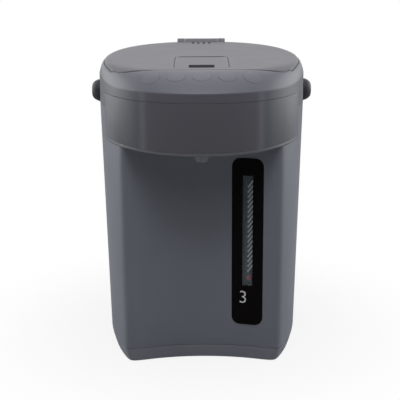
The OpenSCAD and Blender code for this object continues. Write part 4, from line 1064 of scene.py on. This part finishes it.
class THERMOPOT_OT_sleeve(Operator):
    """Body sleeve with the openings for the nose, the gauge and the power inlet"""

    bl_idname = "thermopot.sleeve"
    bl_label = "Body sleeve"

    def execute(self, context):
        edge = settings().shell.edge / MM
        low, high = BASE_H + FIT, SEAM_H - FIT
        levels = [low + (high - low) * i / 8 for i in range(9)]
        rings = []
        for phi in DIRS:
            outer = [(body_r(phi, draft_at(z)), z) for z in levels]
            inner = [(body_r(phi, draft_at(z), WALL), z) for z in (high, low)]
            rings.append(upright(phi, soften(outer + inner, {0: edge, 8: edge, 9: 0.3, 10: 0.3})))
        recess = soft_rect(GAUGE_W + 2 * GAUGE_PLAY, GAUGE_HIGH - GAUGE_LOW + 2 * GAUGE_PLAY,
                           GAUGE_CORNER + GAUGE_PLAY, y=GAUGE_MID)
        slot_x = GAUGE_W / 2 - GAUGE_LEDGE
        inlet_x, inlet_z = INLET_W / 2 + TOUCH, INLET_HH / 2 + TOUCH
        cutters = [
            nose_space(),
            block("slot", (-slot_x, -5, GAUGE_LOW + GAUGE_LEDGE), (slot_x, 15, GAUGE_HIGH - GAUGE_LEDGE),
                  GAUGE_FRAME),
            prism("recess", recess, -PANEL_BACK - TOUCH, 8, GAUGE_FACE),
            block("inlet", (-inlet_x, INLET_FRONT_Y, INLET_Z - inlet_z),
                  (inlet_x, INLET_REAR_Y, INLET_Z + inlet_z)),
        ]
        sleeve = worked(loft("sleeve", rings, round_trip=True), cutters=cutters)
        piece("body_sleeve", sleeve, "pot", "body_plastic")
        return {"FINISHED"}


# ---------------------------------------------------------------- top cover, nose and buttons


def panel_frame(index):
    """A frame on the panel at a button, Z out of the panel."""
    x = (index - 2) * BUTTON_PITCH
    y = BUTTON_Y + BUTTON_BOW * (x / (2 * BUTTON_PITCH)) ** 2
    n = surface_normal(x, y)
    across = Vector((1 - n.x * n.x / (1 + n.z), -n.x * n.y / (1 + n.z), -n.x))
    along = Vector((-n.x * n.y / (1 + n.z), 1 - n.y * n.y / (1 + n.z), -n.y))
    return Matrix.Translation((x, y, surface_z(x, y))) @ Matrix((across, along, n)).transposed().to_4x4()


def hinge_space(front_y, low):
    """The space of the hinge block, from a front and a height."""
    return block("hinge", (-HINGE_W / 2 - FIT, front_y, low), (HINGE_W / 2 + FIT, 145, 320))


def bolt_space():
    """The latch bolt's way through the lid's skirt and into the top cover."""
    return block("bolt", (*BOLT_WAY[0], BOLT_LOW - FIT), (*BOLT_WAY[1], BOLT_LOW + BOLT_T + FIT))


class THERMOPOT_OT_top_cover(Operator):
    """Top cover with the sloping button panel"""

    bl_idname = "thermopot.top_cover"
    bl_label = "Top cover"

    def execute(self, context):
        shell = settings().shell
        edge_size, crease_size = shell.edge / MM, shell.crease / MM
        rings = []
        for phi in DIRS:
            edge, rim = oval_r(phi), lid_r(phi, -LID_GAP)
            wide = edge - rim
            lip = min(WALL, wide / 3)
            hollow = clamp((wide - 3 * WALL) / 8)
            shoulder = rim + min(shell.rim_width / MM, 0.28 * wide)
            loop = [(edge, SEAM_H), (edge, crease_z(phi))]
            loop += [(r, top_z(phi, r)) for r in (
                edge + (shoulder - edge) * (i / PANEL_STEPS) ** 1.25 for i in range(1, PANEL_STEPS + 1))]
            loop += [(rim, top_z(phi, rim) - shell.rim_drop / MM), (rim, LIP_H), (rim + lip, LIP_H)]
            loop += [(r, LIP_H + (top_z(phi, r) - drop - LIP_H) * hollow)
                     for r, drop in ((rim + lip, WALL), ((edge + rim) / 2, WALL * 1.1))]
            loop += [(edge - WALL, min(LIP_H, crease_z(phi) - WALL)), (edge - WALL, SEAM_H)]
            front = max(0.0, math.cos(phi)) ** 2
            loop = soften(loop, {0: edge_size * 0.6, 1: 0.2 + crease_size * front,
                                 PANEL_STEPS + 1: 0.5, PANEL_STEPS + 2: 0.3})
            rings.append(upright(phi, loop))
        cutters = [
            block("nose", (-130, -220, 200), (130, NOSE_END_Y, NOSE_SEAM + FIT)),
            hinge_space(BLOCK_FRONT_Y - FIT, LIP_H - 6), bolt_space(),
        ]
        hole = ellipse(BUTTON_W / 2 + BUTTON_GAP, BUTTON_D / 2 + BUTTON_GAP)
        cutters += [prism("hole", hole, -12, 12, panel_frame(i)) for i in range(len(BUTTONS))]
        cutters += [rod("pivot", PIVOT_R, 0, 22, crosswise(side * 88, 0, PIVOT_H, side)) for side in (-1, 1)]
        cover = worked(loft("cover", rings, round_trip=True), cutters=cutters)
        piece("top_cover", cover, "pot", "cover_plastic")
        return {"FINISHED"}


class THERMOPOT_OT_nose(Operator):
    """Nose housing, its underplate and the spout nozzle"""

    bl_idname = "thermopot.nose"
    bl_label = "Nose and spout"

    def behind(self):
        """All that lies behind the nose's end."""
        return block("behind", (-130, NOSE_END_Y - FIT, 180), (130, 50, 300))

    def execute(self, context):
        edge = settings().shell.edge / MM
        span = [math.radians(-NOSE_TURN + i) for i in range(2 * NOSE_TURN + 1)]
        rings = []
        for phi in span:
            outer, inner = oval_r(phi), oval_r(phi, WALL)
            low, inner_low = (nose_z(r * math.sin(phi)) + UNDER_T + TOUCH for r in (outer, inner))
            loop = [(outer, low), (outer, (low + NOSE_SEAM) / 2), (outer, NOSE_SEAM),
                    (inner, NOSE_SEAM), (inner, inner_low)]
            rings.append(upright(phi, soften(loop, {0: edge * 0.5, 2: edge})))
        piece("nose_cover", worked(loft("housing", rings), cutters=[self.behind()]), "pot", "nose_plastic")

        draft = draft_at(NOSE_LOW)
        rings = []
        for phi in span:
            outer, inner = oval_r(phi), body_r(phi, draft, WALL - 0.2)
            under = [outer + (inner - outer) * i / 8 for i in range(9)]
            under = [(r, nose_z(r * math.sin(phi))) for r in under]
            loop = under + [(r, z + UNDER_T) for r, z in under[::-1]]
            rings.append(upright(phi, soften(loop, {0: 0.9, len(loop) - 1: 0.3})))
        middle = Matrix.Translation((0, NOZZLE_Y, 0))
        bore = rod("bore", NOZZLE_R + TOUCH, 190, 240, middle, 64)
        # the underplate's lighter colour paints the floor's reflection along the nose's lower rim
        piece("nose_underplate", worked(loft("underplate", rings), cutters=[bore, self.behind()]), "pot",
              "nose_plastic", material=finish("underplate_pale"))
        piece("spout_nozzle", spun("nozzle", NOZZLE, 64, middle), "pot", "nose_plastic",
              material=finish("nozzle_glossy"))
        return {"FINISHED"}


class THERMOPOT_OT_buttons(Operator):
    """The five push buttons, each with its plunger"""

    bl_idname = "thermopot.buttons"
    bl_label = "Push buttons"

    def execute(self, context):
        for index, name in enumerate(BUTTONS):
            place = panel_frame(index)
            n = place.to_3x3().col[2]
            rings = []
            for share, lift in CAP:
                ring = []
                for x, y in ellipse(BUTTON_W / 2 * share, BUTTON_D / 2 * share, 56):
                    q = place @ Vector((x, y, CAP_FOOT if lift is None else 0.0))
                    if lift is not None:
                        q += n * ((surface_z(q.x, q.y) - q.z) * n.z + lift)
                    ring.append(q)
                rings.append(ring)
            cap = worked(loft("cap", rings), joined=[spun("plunger", PLUNGER, 32, place)])
            piece(name + "_button", cap, name + "_key", "key_plastic")
        return {"FINISHED"}


# ---------------------------------------------------------------- lid


def lever_outline(grow, behind=0.0):
    """Outline of the lever's place in the lid, with more space behind it if wanted."""
    depth, middle = LEVER_REAR_Y - LEVER_FRONT_Y + behind, (LEVER_FRONT_Y + LEVER_REAR_Y + behind) / 2
    return soft_rect(LEVER_W + 2 * grow, depth + 2 * grow, LEVER_CORNER + grow, y=middle)


class THERMOPOT_OT_lid(Operator):
    """Lid cover with the steam slots, and the hinge block behind it"""

    bl_idname = "thermopot.lid"
    bl_label = "Lid"

    def execute(self, context):
        lid = settings().lid
        sections = []
        for phi in DIRS:
            swing = smooth(turned(phi, *SWING_TURN))    # the skirt leans in at the rear, where it swings down
            full, inner, foot = lid_r(phi), lid_r(phi, WALL), lid_r(phi, max(0.4, swing))
            rim = top_z(phi, full)
            section = [(full * s, top_z(phi, full * s) - LID_T) for s in (0.04, 0.5, 0.8)]
            section += [(inner, top_z(phi, inner) - LID_T), (inner, LID_LOW), (foot, LID_LOW)]
            section += [(lid_r(phi, swing), rim - 3), (lid_r(phi, 0.4 * swing), rim - 1.4)]
            section += [(full * s, top_z(phi, full * s)) for s in LID_SHARES]
            sections.append(soften(section, {5: 0.3, 8: lid.edge / MM}, closed=False))
        pitch, width, length = (v / MM for v in (lid.vent_pitch, lid.vent_width, lid.vent_length))
        slot = prism("vent", soft_rect(width, length, width / 2 - TOUCH), -VENT_DEPTH, VENT_DEPTH)
        vents = repeated(slot, [((i - (lid.vent_count - 1) / 2) * pitch, VENT_Y, plane_z(VENT_Y))
                                for i in range(lid.vent_count)], "lid_plastic")
        cutters = [prism("lever", lever_outline(0.5, 0.5), -15, 15, LID_FRAME), vents,
                   hinge_space(BLOCK_FRONT_Y - 2 * FIT, 260), bolt_space()]
        piece("lid_cover", worked(loft("lid", all_round(sections)), cutters=cutters), "lid", "lid_plastic")
        knuckle = worked(copy_of("hinge_block"), bevel=0.5, limit=50)
        piece("hinge_block", knuckle, "pot", "lid_plastic", even=True)
        return {"FINISHED"}


class THERMOPOT_OT_lever(Operator):
    """Release lever with its finger slot"""

    bl_idname = "thermopot.lever"
    bl_label = "Release lever"

    def execute(self, context):
        y, z = LEVER_AXIS_Y, LEVER_AXIS_Z
        outline = [(y + HUB_R * math.sin(math.tau * i / 48), z + HUB_R * math.cos(math.tau * i / 48))
                   for i in range(29)]
        front_z = plane_z(LID_FRONT_Y)
        outline += [(y - 2.6, plane_z(y) - LEVER_T), (LID_FRONT_Y, front_z - LEVER_T), (LID_FRONT_Y, front_z)]
        finger = soft_rect(SLOT_W, SLOT_REAR_Y - SLOT_FRONT_Y, 2, y=(SLOT_FRONT_Y + SLOT_REAR_Y) / 2)
        cutters = [prism("slot", finger, -10, 10, LID_FRAME)]
        for low, high in LEVER_ROOMS:
            cutters += [block("room", (low, y - ROOM_R, z - ROOM_R), (high, y + ROOM_R, z)),
                        rod("room", EAR_R, 0, high - low, crosswise(low, y, z))]
        cutters.append(rod("pin", LEVER_PIN_R, 0, 60, crosswise(-30, y, z), 24))
        lever = worked(prism("bar", outline, -40, 40, LENGTHWAYS), cutters=cutters,
                       kept=prism("zone", lever_outline(0), -15, 15, LID_FRAME),
                       bevel=settings().lid.lever_edge / MM, limit=50)

        blades = [block("blade", (x - BLADE_T / 2, CAM_Y - BLADE_D / 2, CAM_Z - CAM_R),
                        (x + BLADE_T / 2, CAM_Y + BLADE_D / 2, plane_z(CAM_Y) - 1))
                  for x in (-BLADE_X, BLADE_X)]
        reach = BLADE_X + BLADE_T / 2
        cam = rod("cam", CAM_R, 0, 2 * reach, crosswise(-reach, CAM_Y, CAM_Z))
        hook = worked(blades[0], joined=[cam, blades[1]])
        piece("latch_lever", merged(lever, hook), "lever", "lid_plastic", even=True)
        return {"FINISHED"}


class THERMOPOT_OT_springs(Operator):
    """Wire springs of the latch bolt and of the lever"""

    bl_idname = "thermopot.springs"
    bl_label = "Springs"

    def execute(self, context):
        coil = settings().coil
        tree = coil_tree()
        lengthways = Matrix.Translation((0, -21.6, 273.6)) @ Matrix.Rotation(-math.pi / 2, 4, "X")
        for name, turns, radius, length, place in (
                ("bolt_spring", coil.bolt_turns, 1.85, 15.3, lengthways),
                ("lever_spring", coil.lever_turns, 1.75, 7.4, crosswise(-3.7, LEVER_AXIS_Y, LEVER_AXIS_Z))):
            mesh = grown(tree, {"Turns": turns, "Radius": radius * MM, "Height": length * MM,
                                "Wire": coil.wire, "Material": finish("pin_steel")})
            mesh.transform(in_metres(place))
            made = piece(name, mesh, "lid", "pin_steel", crisp=60)
            if name == "bolt_spring":
                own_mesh(made)
        return {"FINISHED"}


# ---------------------------------------------------------------- gauge


class THERMOPOT_OT_gauge(Operator):
    """Level gauge: panel, window, tube, striped backing, float and numeral"""

    bl_idname = "thermopot.gauge"
    bl_label = "Level gauge"

    def execute(self, context):
        sizes = settings().gauge
        outline = soft_rect(GAUGE_W, GAUGE_HIGH - GAUGE_LOW, GAUGE_CORNER, y=GAUGE_MID, n=14)
        half = WINDOW_W / 2
        opening = block("opening", (-half, -10, WINDOW_LOW), (half, 10, WINDOW_HIGH), GAUGE_FRAME)
        panel = worked(prism("panel", outline, -PANEL_BACK, -PANEL_FACE, GAUGE_FACE), cutters=[opening],
                       bevel=0.45, segments=4, limit=50)
        piece("gauge_panel", panel, "pot", "gauge_black", even=True)

        pane = block("pane", (-half + TOUCH, PANE_FACE, WINDOW_LOW + TOUCH),
                     (half - TOUCH, PANE_BACK, WINDOW_HIGH - TOUCH), GAUGE_FRAME)
        piece("gauge_window", worked(pane, bevel=0.2), "pot", "clear_window", even=True)

        upright_frame = GAUGE_FRAME @ Matrix.Translation((0, TUBE_DEPTH, 0))
        bore, narrow, ledge = TUBE_R - TUBE_WALL, TUBE_R - TUBE_STOP, FLOAT_Z - 1.8 - TOUCH
        section = [(narrow, TUBE_LOW), (TUBE_R, TUBE_LOW), (TUBE_R, TUBE_HIGH), (bore, TUBE_HIGH),
                   (bore, ledge), (narrow, ledge)]
        tube = wheel("tube", soften(section, {1: 0.3, 2: 0.3}), 64, upright_frame)
        piece("gauge_tube", tube, "pot", "clear_tube")

        steps = [math.radians(-90 + 9 * i) for i in range(21)]
        arc = [(max(FLOAT_R * math.cos(a), 0), FLOAT_Z + FLOAT_R * math.sin(a)) for a in steps]
        piece("level_float", wheel("float", arc, 48, upright_frame), "float", "float_red")

        back_y, low, high = TUBE_DEPTH + TUBE_R + 0.4, TUBE_LOW + 4, GAUGE_HIGH - 5
        backing = block("backing", (-BACKING_W / 2, back_y, low), (BACKING_W / 2, back_y + BACKING_T, high),
                        GAUGE_FRAME)
        cheek_x = (BACKING_W - CHEEK_T) / 2
        cheeks = [block("cheek", (x - CHEEK_T / 2, 1.7, low), (x + CHEEK_T / 2, back_y + 0.2, high),
                        GAUGE_FRAME) for x in (-cheek_x, cheek_x)]
        piece("gauge_backing", worked(backing, joined=cheeks, bevel=0.15), "pot", "gauge_stripes")

        ink = finish("stripe_print")
        stripes = grown(stripe_tree(), {
            "Count": sizes.stripe_count, "Pitch": sizes.stripe_pitch, "Length": sizes.stripe_length,
            "Width": sizes.stripe_width, "Thickness": STRIPE_T * MM, "Lean": sizes.stripe_lean,
            "First": [v * MM for v in STRIPE_FIRST], "Material": ink})
        stripes.transform(in_metres(GAUGE_FRAME))
        piece("gauge_stripes", stripes, "pot", "gauge_stripes", material=ink)

        text = bpy.data.curves.new("numeral", "FONT")
        text.body, text.align_x = "3", "CENTER"
        text.size, text.extrude = sizes.numeral_height * NUMERAL_SIZE, NUMERAL_T * MM
        text.offset = NUMERAL_THIN * MM
        numeral = plain_mesh(linked("numeral", text))
        place = GAUGE_FACE.copy()
        place.translation = GAUGE_FRAME @ Vector(NUMERAL_PLACE)
        numeral.transform(in_metres(place))
        piece("gauge_numeral", numeral, "pot", "inner_plastic", material=finish("numeral_print"))
        return {"FINISHED"}


# ---------------------------------------------------------------- handle


def bar_reach(half_width, reach, angle):
    """Distance from the pivots' axis to a face of the handle's bar."""
    return ((abs(math.cos(angle)) / half_width) ** 3 + (abs(math.sin(angle)) / reach) ** 3) ** (-1 / 3)


class THERMOPOT_OT_handle(Operator):
    """Carrying handle with its two pivot bosses"""

    bl_idname = "thermopot.handle"
    bl_label = "Handle"

    def execute(self, context):
        rings = []
        for i in range(121):
            angle = math.radians(1.5 * i)
            inner, outer = bar_reach(*BAR_IN, angle), bar_reach(*BAR_OUT, angle)
            half, middle = (outer - inner) / 2, (outer + inner) / 2
            ring = soft_rect(2 * half, BAR_W, min(half, BAR_W / 2) * 0.85, n=6)
            ring = [(middle + x, z) for x, z in ring]
            rings.append([(r * math.cos(angle), r * math.sin(angle), z) for r, z in ring])
        outwards = Matrix.Translation((0, 0, HANDLE_IN))
        bosses = [spun("boss", BOSS, 72, HANDLE_FRAME @ crosswise(0, 0, 0, side) @ outwards)
                  for side in (-1, 1)]
        handle = worked(loft("bar", rings, place=HANDLE_FRAME), joined=bosses)
        piece("handle", handle, "handle", "dark_plastic")
        return {"FINISHED"}


# ---------------------------------------------------------------- nodes that keep their own shape


class THERMOPOT_OT_inner_parts(Operator):
    """Finishes of the nodes that keep their own shape, such as the container, pump and boards"""

    bl_idname = "thermopot.inner_parts"
    bl_label = "Inner parts"

    def execute(self, context):
        for name, node in frame["nodes"].items():
            for socket in node.material_slots:
                socket.material = finish(SLOT_OF[name])
        return {"FINISHED"}


# ---------------------------------------------------------------- stage


class THERMOPOT_OT_stage(Operator):
    """Pale floor, soft lamps, white surroundings and the camera"""

    bl_idname = "thermopot.stage"
    bl_label = "Stage"

    def execute(self, context):
        stage, scene = settings().stage, context.scene
        floor = linked("floor", prism("floor", ellipse(FLOOR_R, FLOOR_R, 96), -4, 0))
        floor.data.materials.append(self.floor_finish())

        # each lamp: name, power, place, aim, width and height, in metres
        lamps = [
            ("lamp_top_back", stage.back_light, (0.0, 0.45, 1.45), (0, 0, 0.2), 1.2, 0.7),
            ("lamp_top_front", stage.front_light, (0.0, -0.85, 1.3), (0, 0, 0.2), 1.2, 0.7),
            ("lamp_top_steep", stage.steep_light, (0.0, -0.6, 1.4), (0, -0.05, 0.2), 0.7, 0.35),
        ]
        for side, label in ((-1, "left"), (1, "right")):
            lamps += [
                ("lamp_side_" + label, stage.side_light, (side * 1.25, 0.25, 0.5), (0, 0, 0.15), 0.9, 1.1),
                ("lamp_rim_" + label, stage.rim_light, (side * 1.1, 0.75, 0.35), (0, 0, 0.15), 0.6, 0.9),
            ]
        for name, power, place, aim, width, height in lamps:
            lamp = bpy.data.lights.new(name, "AREA")
            lamp.shape, lamp.size, lamp.size_y, lamp.energy = "RECTANGLE", width, height, power
            made = linked(name, lamp)
            made.location = place
            made.rotation_euler = (Vector(aim) - Vector(place)).to_track_quat("-Z", "Y").to_euler()

        lens = bpy.data.cameras.new("camera")
        lens.sensor_width, lens.lens, lens.clip_start, lens.clip_end = 36, stage.lens, 0.05, 30
        camera = linked("camera", lens)
        camera.location = CAMERA_PLACE
        tilt = Matrix.Rotation(math.radians(CAMERA_TILT), 4, "X")
        camera.rotation_euler = (tilt @ Matrix.Rotation(math.radians(CAMERA_ROLL), 4, "Z")).to_euler()
        scene.camera = camera
        scene.view_settings.view_transform = "Standard"
        scene.world = self.surroundings(stage.ambient)
        return {"FINISHED"}

    def surroundings(self, ambient):
        """A world that is white to the camera and brighter behind in gloss, and even light for the rest."""
        world = bpy.data.worlds.new("surroundings")
        tree = empty_tree(world)
        seen, glossy = self.seen(tree)
        outwards = wire(tree, "ShaderNodeTexCoord").outputs["Generated"]
        sides = wire(tree, "ShaderNodeSeparateXYZ", {0: outwards})
        shine = calc(tree, "MULTIPLY", glossy, ranged(tree, sides.outputs["Y"], 0.15, 1.0, -0.2, 0.5))
        dim = wire(tree, "ShaderNodeBackground", {"Color": (0.97, 0.98, 1.0, 1.0), "Strength": ambient})
        white = wire(tree, "ShaderNodeBackground", {"Color": (1.0, 1.0, 1.0, 1.0), "Strength": 1.0})
        share = calc(tree, "MAXIMUM", seen, shine)
        mixed = wire(tree, "ShaderNodeMixShader", {0: share, 1: dim.outputs[0], 2: white.outputs[0]})
        wire(tree, "ShaderNodeOutputWorld", {"Surface": mixed.outputs[0]})
        return world

    def floor_finish(self):
        """A pale floor that keeps the shadow and fades into the white surroundings."""
        made = bpy.data.materials.new("floor_pale")
        tree = empty_tree(made)
        place = wire(tree, "ShaderNodeTexCoord").outputs["Object"]
        away = wire(tree, "ShaderNodeVectorMath", {0: place}, operation="LENGTH").outputs["Value"]
        fade = ranged(tree, away, 0.88, 1.0, 0.08, 0.3, interpolation_type="SMOOTHSTEP")
        share = calc(tree, "MULTIPLY", fade, self.seen(tree)[0])
        speckle = wire(tree, "ShaderNodeValToRGB", {"Fac": noise(tree, place, 0.02)})
        for stop, shade in zip(speckle.color_ramp.elements, (0.54, 0.58)):
            stop.color = (shade, shade, shade, 1)
        matt = wire(tree, "ShaderNodeBsdfDiffuse", {"Color": speckle.outputs[0]})
        white = wire(tree, "ShaderNodeEmission", {"Color": (1, 1, 1, 1), "Strength": 1.0})
        mixed = wire(tree, "ShaderNodeMixShader", {0: share, 1: matt.outputs[0], 2: white.outputs[0]})
        wire(tree, "ShaderNodeOutputMaterial", {"Surface": mixed.outputs[0]})
        return made

    def seen(self, tree):
        """1 for rays that show the surroundings, and 1 for rays of a gloss."""
        rays = wire(tree, "ShaderNodeLightPath").outputs
        shown = calc(tree, "MAXIMUM", rays["Is Camera Ray"], rays["Is Transmission Ray"])
        return shown, rays["Is Glossy Ray"]


# ---------------------------------------------------------------- panel and registration

STEPS = (
    THERMOPOT_OT_inner_parts, THERMOPOT_OT_base, THERMOPOT_OT_sleeve, THERMOPOT_OT_top_cover,
    THERMOPOT_OT_nose, THERMOPOT_OT_buttons, THERMOPOT_OT_lid, THERMOPOT_OT_lever, THERMOPOT_OT_springs,
    THERMOPOT_OT_gauge, THERMOPOT_OT_handle, THERMOPOT_OT_stage,
)


class THERMOPOT_PT_steps(Panel):
    """Lists the steps that build the pot"""

    bl_idname = "THERMOPOT_PT_steps"
    bl_label = "Thermo Pot"
    bl_space_type = "VIEW_3D"
    bl_region_type = "UI"
    bl_category = "Thermo Pot"

    def draw(self, context):
        for step in STEPS:
            self.layout.operator(step.bl_idname)
        for group in ("shell", "lid", "gauge", "coil", "colours", "stage"):
            box = self.layout.box()
            values = getattr(context.scene.thermo_pot, group)
            for key in values.bl_rna.properties.keys():
                if key not in ("rna_type", "name"):
                    box.prop(values, key)


CLASSES = (
    ShellSizes, LidSizes, GaugeSizes, CoilSizes, Colours, StageSettings, ThermoPotSettings,
) + STEPS + (THERMOPOT_PT_steps,)


def register():
    for entry in CLASSES:
        bpy.utils.register_class(entry)
    bpy.types.Scene.thermo_pot = PointerProperty(type=ThermoPotSettings)


def unregister():
    del bpy.types.Scene.thermo_pot
    for entry in reversed(CLASSES):
        bpy.utils.unregister_class(entry)


def main():
    """Builds the pot and its stage."""
    register()
    for step in STEPS:
        module, name = step.bl_idname.split(".")
        getattr(getattr(bpy.ops, module), name)()


if __name__ == "__main__":
    main()
